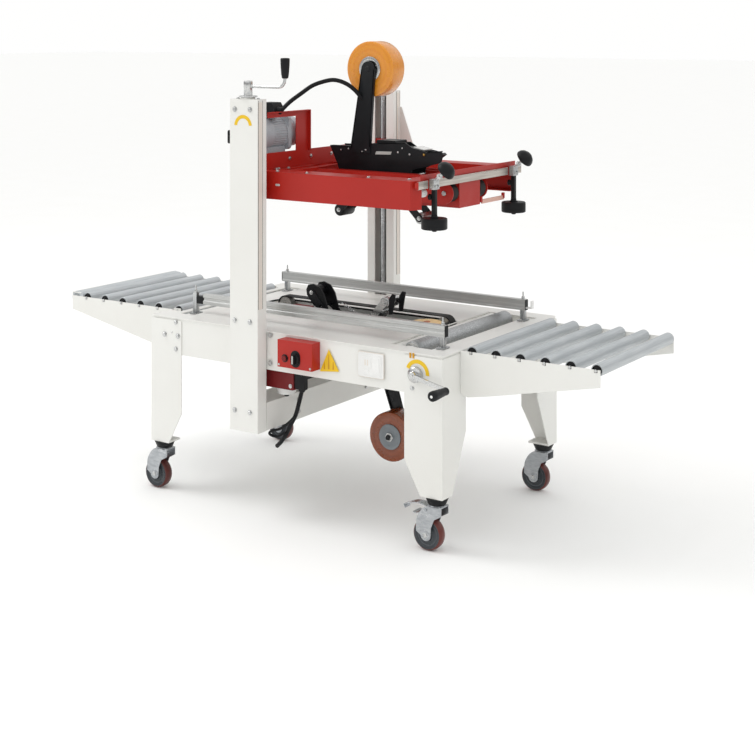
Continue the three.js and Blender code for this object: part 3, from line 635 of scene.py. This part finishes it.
def lift():
    y = 398.5
    crown = 1354
    shape = Shape("brushed_z")
    screw_thread(shape, y, 279, 1346, 13.8)
    shape.turned((0, y, 1346), "z", [(0, 13), (6, 13), (8, 12), (12, 12), (15, 9)], 28)
    shape.piece("rear_screw", "rear_lift_screw", 0.2, ["rear_lift_screw"], slot="bright_steel")

    shape = Shape("brushed_z")
    screw_thread(shape, -y, 279, 1346, 13.8)
    shape.use("bright_steel").turned((0, -y, crown + 0.6), "z", [
        (-8, 10), (0, 10), (0.2, 30), (4, 30.5), (5, 28), (5.4, 15), (6, 14.4),
        (30, 14), (31, 14.6), (50, 14.6), (53, 13), (53.6, 8)], 40)
    shape.tube(smoothed([
        (4, -y, 1390), (40, -y, 1390), (100, -y, 1390), (128, -y, 1390.5), (140, -y, 1395),
        (148, -y, 1405), (151, -y, 1420), (151, -y, 1432)], 6), 4.8, 16)
    shape.turned((9, -y, 1390), "x", [(0, 6), (6, 6.6), (8, 5)], 20)
    shape.turned((151, -y, 1419), "z", [(0, 6), (2, 9), (4, 9), (5, 6)], 24)
    shape.use("black_plastic").turned((151, -y, 1424), "z", [
        (-6, 7), (-4, 10.5), (8, 12.4), (30, 14.2), (52, 15.2), (57, 15), (59.5, 13), (60, 6)], 32)
    shape.piece("lift_crank_handle", "lift_crank", 0.3, ["lift_crank"], slot="bright_steel")

    shape = Shape("white_paint")
    for v in (-y, y):
        collar = [(0, 23), (4.4, 23), (5, 21.5), (5, 15.8), (0, 15.8)]
        shape.use("white_paint").turned((0, v, 1349), "z", collar, 36)
        for x in (-42, 42):
            shape.use("bright_steel").bolt((x, v, 1349), "z", 4.5)
    shape.use("decal_amber")
    crescent = arc(-3, 1262, 36, 4, 176, 20) + arc(-3, 1262, 24.5, 176, 4, 20)
    shape.prism(crescent, COLUMN_FACE - 0.7, COLUMN_FACE)
    # a darker beige strip on each column's outer side face: painted shade of the recessed face between the
    # grooves
    shape.use("beige_shade")
    for s in (-1, 1):
        shape.box(57.4, 58.2, s * 397, s * 417, 672, 1340)
    shape.piece("column_fittings", ROOT, 0.3)

    shape = Shape("black_plastic")
    shape.prism(rounded(-420, -392, 1202, 1246, 6), -69, -57.2, "yz")
    # thin black strips on each column's outer side face: painted shadows of the two grooves there
    for v in (-418, -396, 396, 418):
        shape.box(57.4, 58.0, v - 0.8, v + 0.8, 672, 1345)
    shape.use("switch_grey").prism(rounded(-412, -400, 1210, 1238, 4), -69.6, -68.8, "yz")
    shape.piece("column_grip_and_groove_shadows", ROOT, 0.6)


lift()


def rear_gusset():
    """A plate that stiffens the rear column behind the head."""
    shape = Shape("white_paint")
    shape.prism([(57, 1288), (66, 1288), (114, 1158), (114, 1106), (57, 1106)], 416, 419.5)
    shape.box(57, 60, 405, 419.5, 1106, 1288)
    shape.piece("rear_gusset", ROOT, 0.5)


rear_gusset()


# ---- controls
def controls():
    x0, x1, y0, y1, z0, z1 = span("control_box")
    face = y0
    shape = Shape("black_plastic")
    shape.turned((205, face, 532), "-y", [(0.6, 13), (0.6, 16), (2.5, 17), (7, 15.6), (7.6, 13)], 36)
    knob = [(199.5, 517), (210.5, 517), (212, 532), (210.5, 547), (199.5, 547), (198, 532)]
    shape.prism(knob, face - 17.5, face - 7)
    shape.use("switch_grey").prism(rounded(202.6, 207.4, 519, 545, 2), face - 18.2, face - 17.4)
    shape.piece("selector_knob", "selector_switch", 0.8, ["selector_switch"])

    shape = Shape("dark_red_paint")
    shape.turned((163, face, 530), "-y", [(3.8, 7), (3.8, 9), (6.8, 9), (7.6, 8), (7.2, 5)], 32)
    shape.piece("push_button_cap", "push_button", 0.3, ["push_button"], slot="black_plastic")

    shape = Shape("black_plastic")
    shape.turned((163, face, 530), "-y", [(0, 12.5), (2, 12.5), (3, 11.5), (3, 9.6), (0, 9.6)], 32)
    shape.prism(stadium(205, 524, 205, 540, 19, 14), face - 0.6, face)
    for x in (x1 - 7, x0 + 7):
        shape.use("bright_steel").bolt((x, face, z0 + 8), "-y", 3.6, False)
    shape.use("dark_red_paint").prism(rounded(x0 + 1, x1 - 1, z0 + 1, z1 - 1, 5), y1 - 0.6, y1 + 0.2)
    shape.piece("control_box_fittings", ROOT, 0.2)

    shape = Shape("socket_plastic")
    for outline, low, high in (
            ((420, 514, 502, 577, 5), -3, 0.6), ((428, 506, 509, 570, 4), -4.4, -2.8),
            ((434, 470, 530, 563, 3), -5.6, -4.2), ((476, 500, 516, 563, 3), -5.6, -4.2),
            ((440, 462, 514, 524, 2), -5.4, -4.2)):
        shape.prism(rounded(*outline), APRON + low, APRON + high)
    shape.use("beige_shade").prism(rounded(417.6, 516.4, 499.6, 579.4, 6), APRON - 0.8, APRON + 0.5)
    for x in (446, 455):
        shape.prism(rounded(x, x + 5, 538, 556, 1.5), APRON - 6, APRON - 5)
    shape.piece("socket_plate", ROOT, 0.6, slot="black_plastic")

    shape = Shape("decal_amber")
    shape.prism([(272, 495), (346, 503), (306.5, 568)], APRON - 0.5, APRON + 0.4)
    shape.use("decal_ochre")
    for u, v0, v1, half in ((290, 504, 526, 3), (306.5, 506, 552, 3.4), (324, 507, 530, 3)):
        stroke = [(u - half, v0), (u + half, v0), (u + 1, v1), (u - 1, v1)]
        shape.prism(stroke, APRON - 0.8, APRON + 0.2)
    shape.use("decal_amber")
    crescent = arc(636, 536, 42, -4, 160, 20) + arc(636, 536, 30, 160, -4, 20)
    shape.prism(crescent, APRON - 0.6, APRON + 0.4)
    shape.use("decal_ochre")
    for u in (611, 622):
        shape.box(u - 3.4, u + 3.4, APRON - 0.6, APRON + 0.4, 580, 596)
    shape.piece("amber_decals", ROOT, 0, slot="white_paint")


controls()


def side_crank():
    y1 = span("rail_crank")[3]
    hub_x, hub_z = 632, 533
    grip_x, grip_z = 755, 505
    angle = atan2(grip_z - hub_z, grip_x - hub_x)
    length = hypot(grip_z - hub_z, grip_x - hub_x)
    shape = Shape("bright_steel")
    shape.move = Matrix.Translation((hub_x, y1, hub_z)) @ Matrix.Rotation(-angle, 4, "Y")
    shape.turned((0, 0, 0), "-y", [
        (0, 22), (1, 24), (12, 24), (16, 20), (18, 13), (27, 12), (28.5, 10)], 40)
    bar = stadium(0, 0, length, 0, 6.2, 12)
    shape.prism(bar, -27.4, -20.4)
    shape.turned((0, -27, 0), "-y", [(0, 7), (2.5, 7), (3.4, 5.5)], 6)
    shape.turned((length, -21, 0), "-y", [(0, 6), (10, 6)], 20)
    shape.use("black_plastic").turned((length, -28, 0), "-y", [
        (0, 9), (2, 12), (12, 11.6), (40, 13.4), (68, 15.4), (80, 15), (83, 13), (84, 5)], 32)
    shape.use("socket_plastic").turned((length, -111.6, 0), "-y", [(0, 4.6), (0.5, 4.4), (0.8, 3)], 20)
    shape.piece("rail_crank_handle", "rail_crank", 0.5, ["rail_crank"])


side_crank()


# ---- guide rails
def guide_rail(side):
    node = f"{side}_guide_rail"
    x0, x1, z0, z1 = -360, 668, 629, 665
    y = -260
    start = -302 if side == "front" else x0
    shape = Shape("rail_aluminium")
    section = [
        (y - 10, z0), (y + 10, z0), (y + 10, z0 + 6), (y + 8.6, z0 + 7), (y + 8.6, z1 - 7),
        (y + 10, z1 - 6), (y + 10, z1), (y - 10, z1), (y - 10, z0 + 24), (y - 7.5, z0 + 22),
        (y - 7.5, z0 + 14), (y - 10, z0 + 12)]
    shape.prism(section, start, x1, "yz")
    for x in (x0 + 18, x1 - 12):
        shape.use("brushed_z")
        shape.prism(rounded(x - 9, x + 9, y - 8, y + 8, 3), 596, z1 if x < start else z0 + 2, "xy")
        shape.prism(rounded(x - 14, x + 14, y - 20, y + 20, 3), 592.6, 597.2, "xy")
        shape.use("bright_steel")
        shape.turned((x, y, z1 - 1), "z", [(0, 7.5), (2.2, 7.5), (2.6, 5.6), (8, 5.6), (11, 4)], 20)
        shape.turned((x, y, z1), "z", [(0, 2.4), (24, 2.4), (25, 1.5)], 12)
        for v in (-15, 15):
            shape.bolt((x, y + v, 597.2), "z", 3.2, False)
    shape.use("black_plastic").prism(rounded(x0 + 27, x0 + 60, z0, z1 - 10, 3), y - 8, y + 8)
    for x in (start - 1.6, x1 - 0.4):
        shape.prism(rounded(y - 9.6, y + 9.6, z0 + 0.6, z1 - 0.6, 2), x, x + 2, "yz")
    if side == "rear":
        shape.use("socket_plastic")
        hook = [(1, 636), (24, 636), (24, 662), (20, 662), (20, 640), (1, 640)]
        shape.prism([(x1 + u, v) for u, v in hook], y - 8, y + 8)
    shape.piece(f"{side}_rail_bar", node, 0.8, [node], mirror=side == "rear")


guide_rail("front")
guide_rail("rear")


# ---- drive belts
def belts(level, body):
    for side in ("front", "rear"):
        node = f"{level}_{side}_belt"
        x0, x1, y0, y1, z0, z1 = span(node)
        shape = Shape("belt_rubber")
        r = (z1 - z0) / 2
        z = (z0 + z1) / 2
        outer = stadium(x0 + r, z, x1 - r, z, r, 24)
        inner = stadium(x0 + r, z, x1 - r, z, r - 3.4, 24)
        shape.prism(outer, y0 + 0.2, y1 - 0.2, "xz", [inner])
        shape.piece(f"{node}_loop", body, 0.5, [node])
    for role in ("drive", "idler"):
        node = f"{level}_{role}_shaft"
        x0, x1, y0, y1, z0, z1 = span(node)
        x, z = (x0 + x1) / 2, (z0 + z1) / 2
        shape = Shape("bright_steel")
        shape.turned((x, y0, z), "y", [(0, 6.5), (1.2, 7.8), (y1 - y0 - 1.2, 7.8), (y1 - y0, 6.5)], 24)
        shape.use("cast_hub")
        for s in (-1, 1):
            shape.turned((x, s * 71, z), (0, s, 0), [
                (0, 8), (0, 20), (2, 25), (2, 26.6), (4, 27), (29, 27),
                (31, 26.6), (31, 25), (33, 20), (33, 8)], 40)
        shape.piece(f"{node}_pulleys", node, 0.3, [node])


belts("upper", HEAD)
belts("lower", ROOT)


# ---- tape rolls
def tape_roll(level, hub, slot):
    node = f"{level}_tape_roll"
    x0, x1, _, _, z0, z1 = span(node)
    x, z, r = (x0 + x1) / 2, (z0 + z1) / 2, (z1 - z0) / 2
    shape = Shape(f"{level}_tape")
    shape.turned((x, 0, z), "y", [
        (-34.5, 41), (-35.4, 44), (-35.8, r - 3), (-35, r - 0.8), (-33, r), (33, r), (35, r - 0.8),
        (35.8, r - 3), (35.4, 44), (34.5, 41)], 72)
    shape.use("cardboard")
    shape.turned((x, 0, z), "y", [
        (-36, 41.2), (-36.4, 40.6), (-36.4, 37.6), (36.4, 37.6), (36.4, 40.6), (36, 41.2)], 56)
    shape.use(hub)
    shape.turned((x, 0, z), "y", [
        (-37.4, 9.8), (-37.8, 14), (-37, 24), (-38.6, 29), (-39, 38), (-38, 42), (-36.6, 42.6), (-36.6, 37.4),
        (36.6, 37.4), (36.6, 42), (38, 40), (38, 9.8)], 56)
    for spoke in range(3):
        angle = 2 * pi * spoke / 3 + 0.4
        shape.bolt((x + 29 * cos(angle), -38, z + 29 * sin(angle)), "-y", 2.2, False)
    shape.piece(f"{node}_film", node, 0.3, [node], slot=slot)


tape_roll("upper", "bright_steel", "tape_amber")
tape_roll("lower", "grey_paint", "tape_brown")


# ---- taping units
def upper_unit():
    shape = Shape("black_steel")
    feet = [(406, 1112), (384, 1040), (368, 1014), (336, 1014), (300, 1050), (230, 1050), (194, 1014),
            (162, 1014), (130, 1050), (103, 1119)]
    back = [(73, 1179), (157, 1180), (271, 1194)]
    near = [(379, 1200), (406, 1184), (464, 1172), (518, 1179), (526, 1167), (518, 1140)]
    far = [(345, 1196), (372, 1180), (440, 1172), (470, 1166), (462, 1136)]
    holes = [circle(178, 1030, 6.8, 16), circle(352, 1030, 6.8, 16)]
    shape.prism(back + near + feet, -CHEEK, -42, "xz", holes)
    shape.prism(back + far + feet, 42, CHEEK, "xz", holes)
    # folded edges along the top of the near plate
    for fold in ([(80, 1177), (157, 1177.6), (158, 1180.4), (80, 1179.6)],
                 [(271, 1191), (379, 1197), (379, 1200), (271, 1194)],
                 [(464, 1169), (518, 1176), (518, 1179), (464, 1172)]):
        shape.prism(fold, -CHEEK, -33)
    shape.use("bright_steel")
    for x, z in ((92, 1160), (240, 1165), (448, 1152), (395, 1090)):
        shape.turned((x, -42, z), "y", [(0, 7), (84, 7)], 20)
        shape.bolt((x, CHEEK, z), "y", 5)
    # the arm that carries the roll: a folded channel with its spindle
    shape.use("black_steel")
    arm = [(163, 1160), (241, 1160), (241, 1193)] + arc(232, 1441, 26, -4, 184, 14) + [(164, 1190)]
    shape.prism(arm, -49, -44.6)
    for fold in ([(163, 1170), (167, 1170), (209, 1436), (205, 1440)],
                 [(241, 1180), (237, 1180), (254, 1438), (258, 1442)]):
        shape.prism(fold, -49, -38)
    shape.turned((232, -51.6, 1441), "y", [(0, 8), (1, 9.4), (90, 9.4), (91, 8.6)], 24)
    shape.use("bright_steel").turned((232, 38.5, 1441), "y", [(0, 15), (3, 15), (3.6, 10), (6, 9.6)], 24)
    # blank label plate and small fasteners on the near side plate
    shape.use("switch_grey").prism([(260, 1156), (322, 1158), (326, 1168), (264, 1166)], -CHEEK - 0.7, -CHEEK)
    shape.use("bright_steel")
    for x, z, r in ((151, 1170, 3), (225, 1169, 3), (351, 1167, 3.4), (397, 1162, 3.4), (368, 1181, 2.6),
                    (210, 1163, 2.6), (120, 1165, 2.6)):
        on_arm = 163 < x < 241
        shape.bolt((x, -49 if on_arm else -CHEEK, z), "-y", r, False)
    shape.use("brass").turned((454, -CHEEK, 1163), "-y", [(0, 4), (3, 4), (4, 2.6)], 16)
    # cross bar, guard and catches between the plates
    shape.use("black_plastic").prism(rounded(262, 338, 1194, 1204, 3), -40, 30)
    shape.prism([(500, 1150), (523, 1166), (515, 1172), (494, 1160)], -42, -14)
    shape.turned((470, -41, 1166), "y", [(0, 7), (40, 7), (44, 5)], 20)
    shape.prism([(352, 1178), (436, 1170), (440, 1173), (356, 1184)], -30, 34)
    shape.use("socket_plastic").prism([(398, 1183), (440, 1176), (441, 1178.4), (399, 1186)], -24, 30)
    shape.use("bright_steel").tube(helix((120, -30, 1150), (225, -30, 1120), 5, 16, 10), 1.1, 6)
    shape.piece("upper_taping_frame", HEAD, 0.6, ["upper_taping_unit"])


upper_unit()


def lower_unit():
    shape = Shape("black_steel")
    plate = [(-62, 593), (-62, 560), (40, 500), (352, 500), (384, 560), (384, 593)]
    holes = [circle(64, 577, 6.8, 16), circle(212, 577, 6.8, 16)]
    for s in (-1, 1):
        shape.prism(plate, s * 42, s * CHEEK, "xz", holes)
    shape.use("bright_steel")
    for x, z in ((-48, 572), (160, 512), (366, 572)):
        shape.turned((x, -42, z), "y", [(0, 7), (84, 7)], 20)
        for s in (-1, 1):
            shape.bolt((x, s * CHEEK, z), (0, s, 0), 5)
    shape.use("black_steel")
    arm = [(175, 540), (175, 528)] + arc(313, 215, 24, 200, 360, 14) + [(235, 540)]
    shape.prism(arm, 44.6, 49)
    for fold in ([(175, 528), (179, 528), (294, 220), (290, 217)],
                 [(235, 528), (231, 528), (333, 220), (337, 217)]):
        shape.prism(fold, 39, 49)
    shape.turned((313, -49.6, 215), "y", [(0, 8), (1, 9.4), (100, 9.4), (101, 8.6)], 24)
    shape.use("bright_steel")
    shape.turned((313, -39.6, 215), "-y", [(0, 15), (3, 15), (3.6, 11), (8, 10.6), (9, 8)], 6)
    for x, z in ((205, 522), (222, 480)):
        shape.bolt((x, 49, z), "y", 5)
    shape.piece("lower_taping_frame", ROOT, 0.6, ["lower_taping_unit"])


lower_unit()


def taping_arm(node, pivot, roller, radius, finish, inner=0, flap=None, steel="black_steel"):
    """Two cheeks on a pivot, the roller that lays or wipes the tape, and a flap inside each cheek."""
    px, pz = pivot
    rx, rz = roller
    shape = Shape(steel)
    mid = ((px + rx) / 2, (pz + rz) / 2)
    for s in (-1, 1):
        shape.prism(stadium(px, pz, rx, rz, 12.6, 12), s * 34, s * 37, "xz", [circle(*mid, 5, 14)])
    shape.turned((px, -46.6, pz), "y", [(0, 5), (1, 6), (92.2, 6), (93.2, 5)], 20)
    shape.turned((mid[0], -34, mid[1]), "y", [(0, 4.4), (68, 4.4)], 16)
    shape.use(finish)
    shape.turned((rx, -33.6, rz), "y", [
        (0, radius - 3), (1, radius - 1), (3, radius),
        (64.2, radius), (66.2, radius - 1), (67.2, radius - 3)], 40)
    shape.use("bright_steel")
    for s in (-1, 1):
        shape.bolt((rx, s * 37, rz), (0, s, 0), 5)
    anchor = (px + (px - rx) * 0.05, -30, pz + (pz - rz) * 0.05)
    shape.tube(helix((mid[0], -30, mid[1]), anchor, 5.4, 9, 10), 1.1, 6)
    shape.use("black_plastic")
    if flap:
        shape.prism(flap, -34, inner)
        shape.prism(flap, -inner, 34)
    shape.piece(f"{node}_cheeks", node, 0.8, [node], slot="black_steel")


taping_arm("upper_laying_arm", (178, 1030), (104, 958), 21, "black_plastic")
taping_arm("upper_wiping_arm", (352, 1030), (428, 952), 19, "bright_steel")
taping_arm("lower_laying_arm", (64, 577), (-12, 664), 21, "black_plastic", -29, [
    (-33, 654), (-36, 672), (-28, 689), (-6, 694), (22, 684), (40, 660), (56, 612), (40, 600), (-4, 620)])
taping_arm("lower_wiping_arm", (212, 577), (290, 660), 19, "bright_steel", -28, [
    (306, 622), (320, 624), (332, 690), (320, 692), (308, 676)], "bright_steel")


def slot_fittings():
    """What shows in the slot between the belts: the guide disc, the slot's edging and a sprung link."""
    shape = Shape("black_plastic")
    ring = rounded(-247, 488, -106, 106, 60, 12)
    edge = rounded(-240, 481, -99, 99, 54, 12)
    shape.prism(ring, 596, 601, "xy", [edge])
    shape.use("guide_wood")
    shape.turned((436, 0, 594), "z", [
        (0, 20), (0, 46), (2, 48), (11, 48), (13, 46), (13, 12), (15, 10), (15, 0)], 56)
    rim = [(0, 47), (0, 50.5), (9, 50.5), (11.4, 49), (11.4, 47)]
    shape.use("cream_rim").turned((436, 0, 596), "z", rim, 56)
    shape.use("dark_red_paint").prism(rounded(-150, -70, -62, 62, 8), 566, 596, "xy")
    shape.use("bright_steel").tube(helix((139, -52, 640), (197, -52, 612), 5, 8, 12), 1.3, 6)
    shape.tube(smoothed([(139, -52, 640), (128, -50, 644), (120, -48, 640)], 4), 1.4, 8)
    shape.tube(smoothed([(197, -52, 612), (206, -50, 606), (212, -47, 598)], 4), 1.4, 8)
    shape.piece("slot_fittings", ROOT, 0.4)


slot_fittings()


# ---- motors
def upper_motor():
    x0, x1, y0, y1, low, top = -124, -6, -298, -160, 1166, 1284
    x, z = (x0 + x1) / 2, (low + top) / 2
    shape = Shape("motor_casing")
    ribs = []
    for i in range(40):
        for step, radius in ((0.0, 57), (0.4, 57), (0.5, 55), (0.9, 55)):
            angle = 2 * pi * (i + step) / 40
            ribs.append((x + radius * cos(angle), z + radius * sin(angle)))
    shape.prism(ribs, y0 + 54, y1 - 16)
    shape.turned((x, y0 + 2, z), "y", [
        (0, 34), (0.5, 50), (6, 57), (10, 58.6), (52, 58.6), (53, 56), (54, 40)], 56)
    shape.turned((x, y1 - 17, z), "y", [(0, 54), (0, 59), (10, 59), (10, 40)], 48)
    shape.prism(rounded(x0 + 2, x1 - 2, low + 2, top - 2, 14), y1 - 10, y1 + 5)
    shape.turned((x, y1 + 4, z), "y", [
        (0, 51), (2, 52), (30, 52), (32, 48), (36, 48), (38, 52), (66, 52), (69, 48), (70, 30)], 48)
    shape.use("black_plastic")
    for inner in (14, 23, 32, 41):
        ring = [(0, inner), (0, inner + 4), (1.2, inner + 4), (1.2, inner)]
        shape.turned((x, y0 + 1.4, z), "y", ring, 36)
    shape.use("motor_casing")
    for foot_x in (x0 + 16, x1 - 38):
        shape.box(foot_x, foot_x + 22, y0 + 30, y1 - 12, 1110.8, low + 14)
    shape.prism(rounded(-80, -36, -262, -202, 4), top - 3, 1320, "xy")
    shape.use("bright_steel")
    for u in (-74, -42):
        shape.bolt((u, -208, 1320), "z", 3, False)
        for v in (low + 12, top - 12):
            shape.bolt((u + (10 if u > -60 else -34), y1 + 5, v), "y", 4)
    shape.use("cable_black")
    shape.prism([(-57, 1284), (-10, 1282), (-2, 1294), (-2, 1312), (-14, 1330), (-57, 1330)], -258, -206)
    shape.turned((-8, -232, 1301), (1, 0, 0.25), [(0, 16), (8, 14), (14, 10), (20, 7.4)], 24)
    shape.tube(smoothed([
        (8, -230, 1305), (27, -210, 1332), (60, -187, 1362), (85, -165, 1385), (110, -142, 1398),
        (140, -120, 1405), (165, -97, 1397), (186, -75, 1379), (203, -52, 1350), (212, -28, 1312),
        (214, -14, 1260), (212, -8, 1196)], 8), 7.2, 14)
    shape.piece("upper_motor_body", HEAD, 0.5, ["upper_motor"])


upper_motor()


def lower_motor():
    shape = Shape("dark_red_paint")
    shape.box(20, 148, -350, -288, 412, 593)
    shape.box(20, 148, -288, -212, 442, 593)
    shape.prism(rounded(26, 142, 409, 416, 3), -344, -294)
    shape.use("socket_plastic")
    shape.turned((82, -300, 384), "z", [(0, 22), (0.5, 26), (4, 29), (24, 34), (27, 34)], 40)
    shape.use("black_plastic").turned((82, -300, 374), "z", [(0, 6), (1, 8), (10, 8)], 18)
    shape.prism([(148, 420), (156, 416), (184, 414), (186, 420), (186, 566), (148, 566)], -346, -324)
    shape.prism(rounded(148, 186, 446, 566, 4), -324, -214)
    shape.use("motor_casing").turned((94, -212, 500), "y", [
        (0, 46), (30, 46), (34, 42), (40, 42), (44, 46), (76, 46), (80, 40), (81.6, 20)], 48)
    shape.use("bright_steel")
    for x in (30, 136):
        for z in (424, 584):
            shape.bolt((x, -350, z), "-y", 4.5)
    # power cable and the loose loop beside it
    shape.use("cable_black").turned((166, -328, 405), "z", [(0, 8), (4, 11), (13, 11)], 20)
    shape.tube(smoothed([
        (166, -328, 412), (164, -328, 404), (156, -328, 376), (136, -322, 326), (112, -316, 290),
        (84, -308, 248), (62, -304, 222), (42, -300, 204)], 8), 7, 14)
    shape.tube(smoothed([
        (137, -330, 322), (118, -332, 302), (84, -334, 276), (44, -334, 261), (40, -334, 250),
        (66, -330, 246), (94, -324, 262)], 8), 4.4, 12)
    shape.piece("lower_motor_body", ROOT, 0.8, ["lower_motor"], slot="red_paint")


lower_motor()


# ---- pressers and head fittings
def presser(side):
    node = f"{side}_presser"
    x, y = 622, -255
    shape = Shape("black_plastic")
    shape.turned((x, y, 957), "z", [
        (0, 20), (0, 38), (2, 40.6), (6, 41), (28, 41), (33, 40.4), (35, 38), (35, 20)], 56)
    shape.turned((x, y, 949.4), "z", [(0, 6), (2, 8), (8, 8)], 16)
    shape.prism(rounded(x - 7, x + 7, y - 7, y + 7, 1.5), 988, 1081, "xy")
    shape.turned((x, y, 991), "z", [(0, 14), (4, 14), (6, 10), (14, 9)], 28)
    shape.turned((x - 8, y, 1056), "-x", [(0, 5), (3, 9), (10, 10), (12, 8)], 20)
    shape.use("brushed_y").prism(rounded(612, 631.6, y - 16, y + 16, 2), 1080.5, 1112.5, "xy")
    for v in (y - 8, y + 8):
        shape.use("bright_steel").bolt((631.6, v, 1090), "x", 4)
    tip = Vector((661.5, y, 1138))
    outward = Vector((sin(radians(50)), 0, cos(radians(50))))
    shape.turned(tip - outward * 48, outward, [(0, 6), (44, 6)], 20)
    shape.turned(tip - outward * 30, outward, [(0, 10), (7, 10)], 6)
    shape.use("black_plastic").turned(tip - outward * 4, outward, [
        (0, 15), (0.6, 26), (3, 30), (6, 31), (14, 29.4), (22, 24), (29, 14), (32, 6), (32.4, 0)], 48)
    shape.piece(f"{side}_presser_wheel", node, 0.6, [node], mirror=side == "rear")


presser("front")
presser("rear")


def head_fittings():
    shape = Shape("bronzed_bar")
    for y0, y1 in ((-329, -274), (-236, 236), (274, 329)):
        shape.prism(rounded(604.4, 611.5, 1083.4, 1108.6, 2), y0, y1, "xz")
    shape.use("socket_plastic").turned((588, -296, 1068), "y", [(0, 10), (1, 13), (34, 13), (35, 10)], 28)
    shape.use("bright_steel")
    for x, y in ((10, -250), (24, -215), (16, -270), (-40, -320),
                 (60, -320), (180, -320), (420, -320), (560, -300)):
        shape.bolt((x, y, 1110), "z", 5)
    for y in (-180, -60, 60, 180):
        shape.bolt((3, y, 1140), "x", 4.5)
    for y in (-270, -120, 120, 270):
        shape.bolt((603, y, 1096), "x", 4)
    shape.piece("head_bar_sleeves", HEAD, 0.4, slot="bright_steel")

    shape = Shape("red_paint")
    shape.bolt((21, BEAM_FACE, 1068), "-y", 8)
    shape.mirrored()
    for y in (75, 225):
        shape.box(594, 602, y - 5, y + 5, 1006, 1024)
    shape.use("pale_strip").prism(rounded(79, 228, 1001, 1015, 2), 596, 600.5, "yz")
    shape.use("switch_grey").prism(stadium(66, 1068, 78, 1068, 3.4), BEAM_FACE - 0.6, BEAM_FACE + 0.4)
    shape.piece("head_red_fittings", HEAD, 0.4)


head_fittings()


# ---- floor, lights and camera
def studio():
    floor_mesh = bpy.data.meshes.new("floor")
    size = 60
    corners = [(-size, -size, 0), (size, -size, 0), (size, size, 0), (-size, size, 0)]
    floor_mesh.from_pydata(corners, [], [(0, 1, 2, 3)])
    floor = bpy.data.objects.new("floor", floor_mesh)
    ground = Finish("floor")
    grain = ground.between(ground.noise(3, 3), 0.0, 0.4)
    ground.set(Base_Color=ground.mix(grain, "fdfdfc", "fbfbf9"), Roughness=0.95)
    floor_mesh.materials.append(ground.material)
    link(floor)

    world = bpy.data.worlds.new("studio")
    sky = Graph(world)
    background = world.node_tree.nodes["Background"]
    background.inputs["Strength"].default_value = 1.0
    # mirror-like metal sees a room with a bright ceiling and dimmer walls, everything else plain white
    direction = sky.add("ShaderNodeTexCoord").outputs["Generated"]
    height = sky.add("ShaderNodeSeparateXYZ", {"Vector": direction}).outputs["Z"]
    room = sky.add("ShaderNodeValToRGB", {"Fac": height})
    stops = ((0.0, 0.55), (0.08, 0.28), (0.22, 0.5), (0.4, 1.0), (0.62, 1.15), (0.95, 0.8))
    while len(room.color_ramp.elements) < len(stops):
        room.color_ramp.elements.new(0.5)
    for element, (position, value) in zip(room.color_ramp.elements, stops):
        element.position = position
        element.color = (value, value, value, 1)
    glossy = sky.add("ShaderNodeLightPath").outputs["Is Glossy Ray"]
    seen = sky.mix(glossy, (1.0, 1.0, 0.995, 1), room.outputs["Color"])
    sky.plug(background.inputs["Color"], seen)
    scene = bpy.context.scene
    scene.world = world

    light = bpy.data.lights.new("key", "AREA")
    light.shape = "DISK"
    light.size = 2.4
    light.energy = 70
    lamp = bpy.data.objects.new("key", light)
    lamp.location = place(-2800, -1500, 4600)
    aim = place(0, 0, 600) - lamp.location
    lamp.rotation_euler = aim.to_track_quat("-Z", "Y").to_euler()
    link(lamp)

    data = bpy.data.cameras.new("camera")
    data.lens = 70.27
    data.sensor_width = 36
    camera = bpy.data.objects.new("camera", data)
    camera.location = place(3018.19, -4140.70, 1588.81)
    camera.rotation_euler = (radians(90), 0, radians(34.004))
    link(camera)
    scene.camera = camera
    data.clip_end = 200
    # the lens shift belongs to this standpoint only, so views from other sides stay centred
    for path, value in (("shift_x", 0.0046), ("shift_y", -0.4601)):
        driver = data.driver_add(path).driver
        variable = driver.variables.new()
        variable.name = "standpoint"
        variable.type = "TRANSFORMS"
        target = variable.targets[0]
        target.id = camera
        target.transform_type = "LOC_X"
        target.transform_space = "WORLD_SPACE"
        driver.type = "SCRIPTED"
        driver.expression = f"{value} if abs(standpoint - {camera.location.x:.5f}) < 0.001 else 0.0"

    scene.view_settings.view_transform = "Standard"
    scene.view_settings.look = "None"


studio()
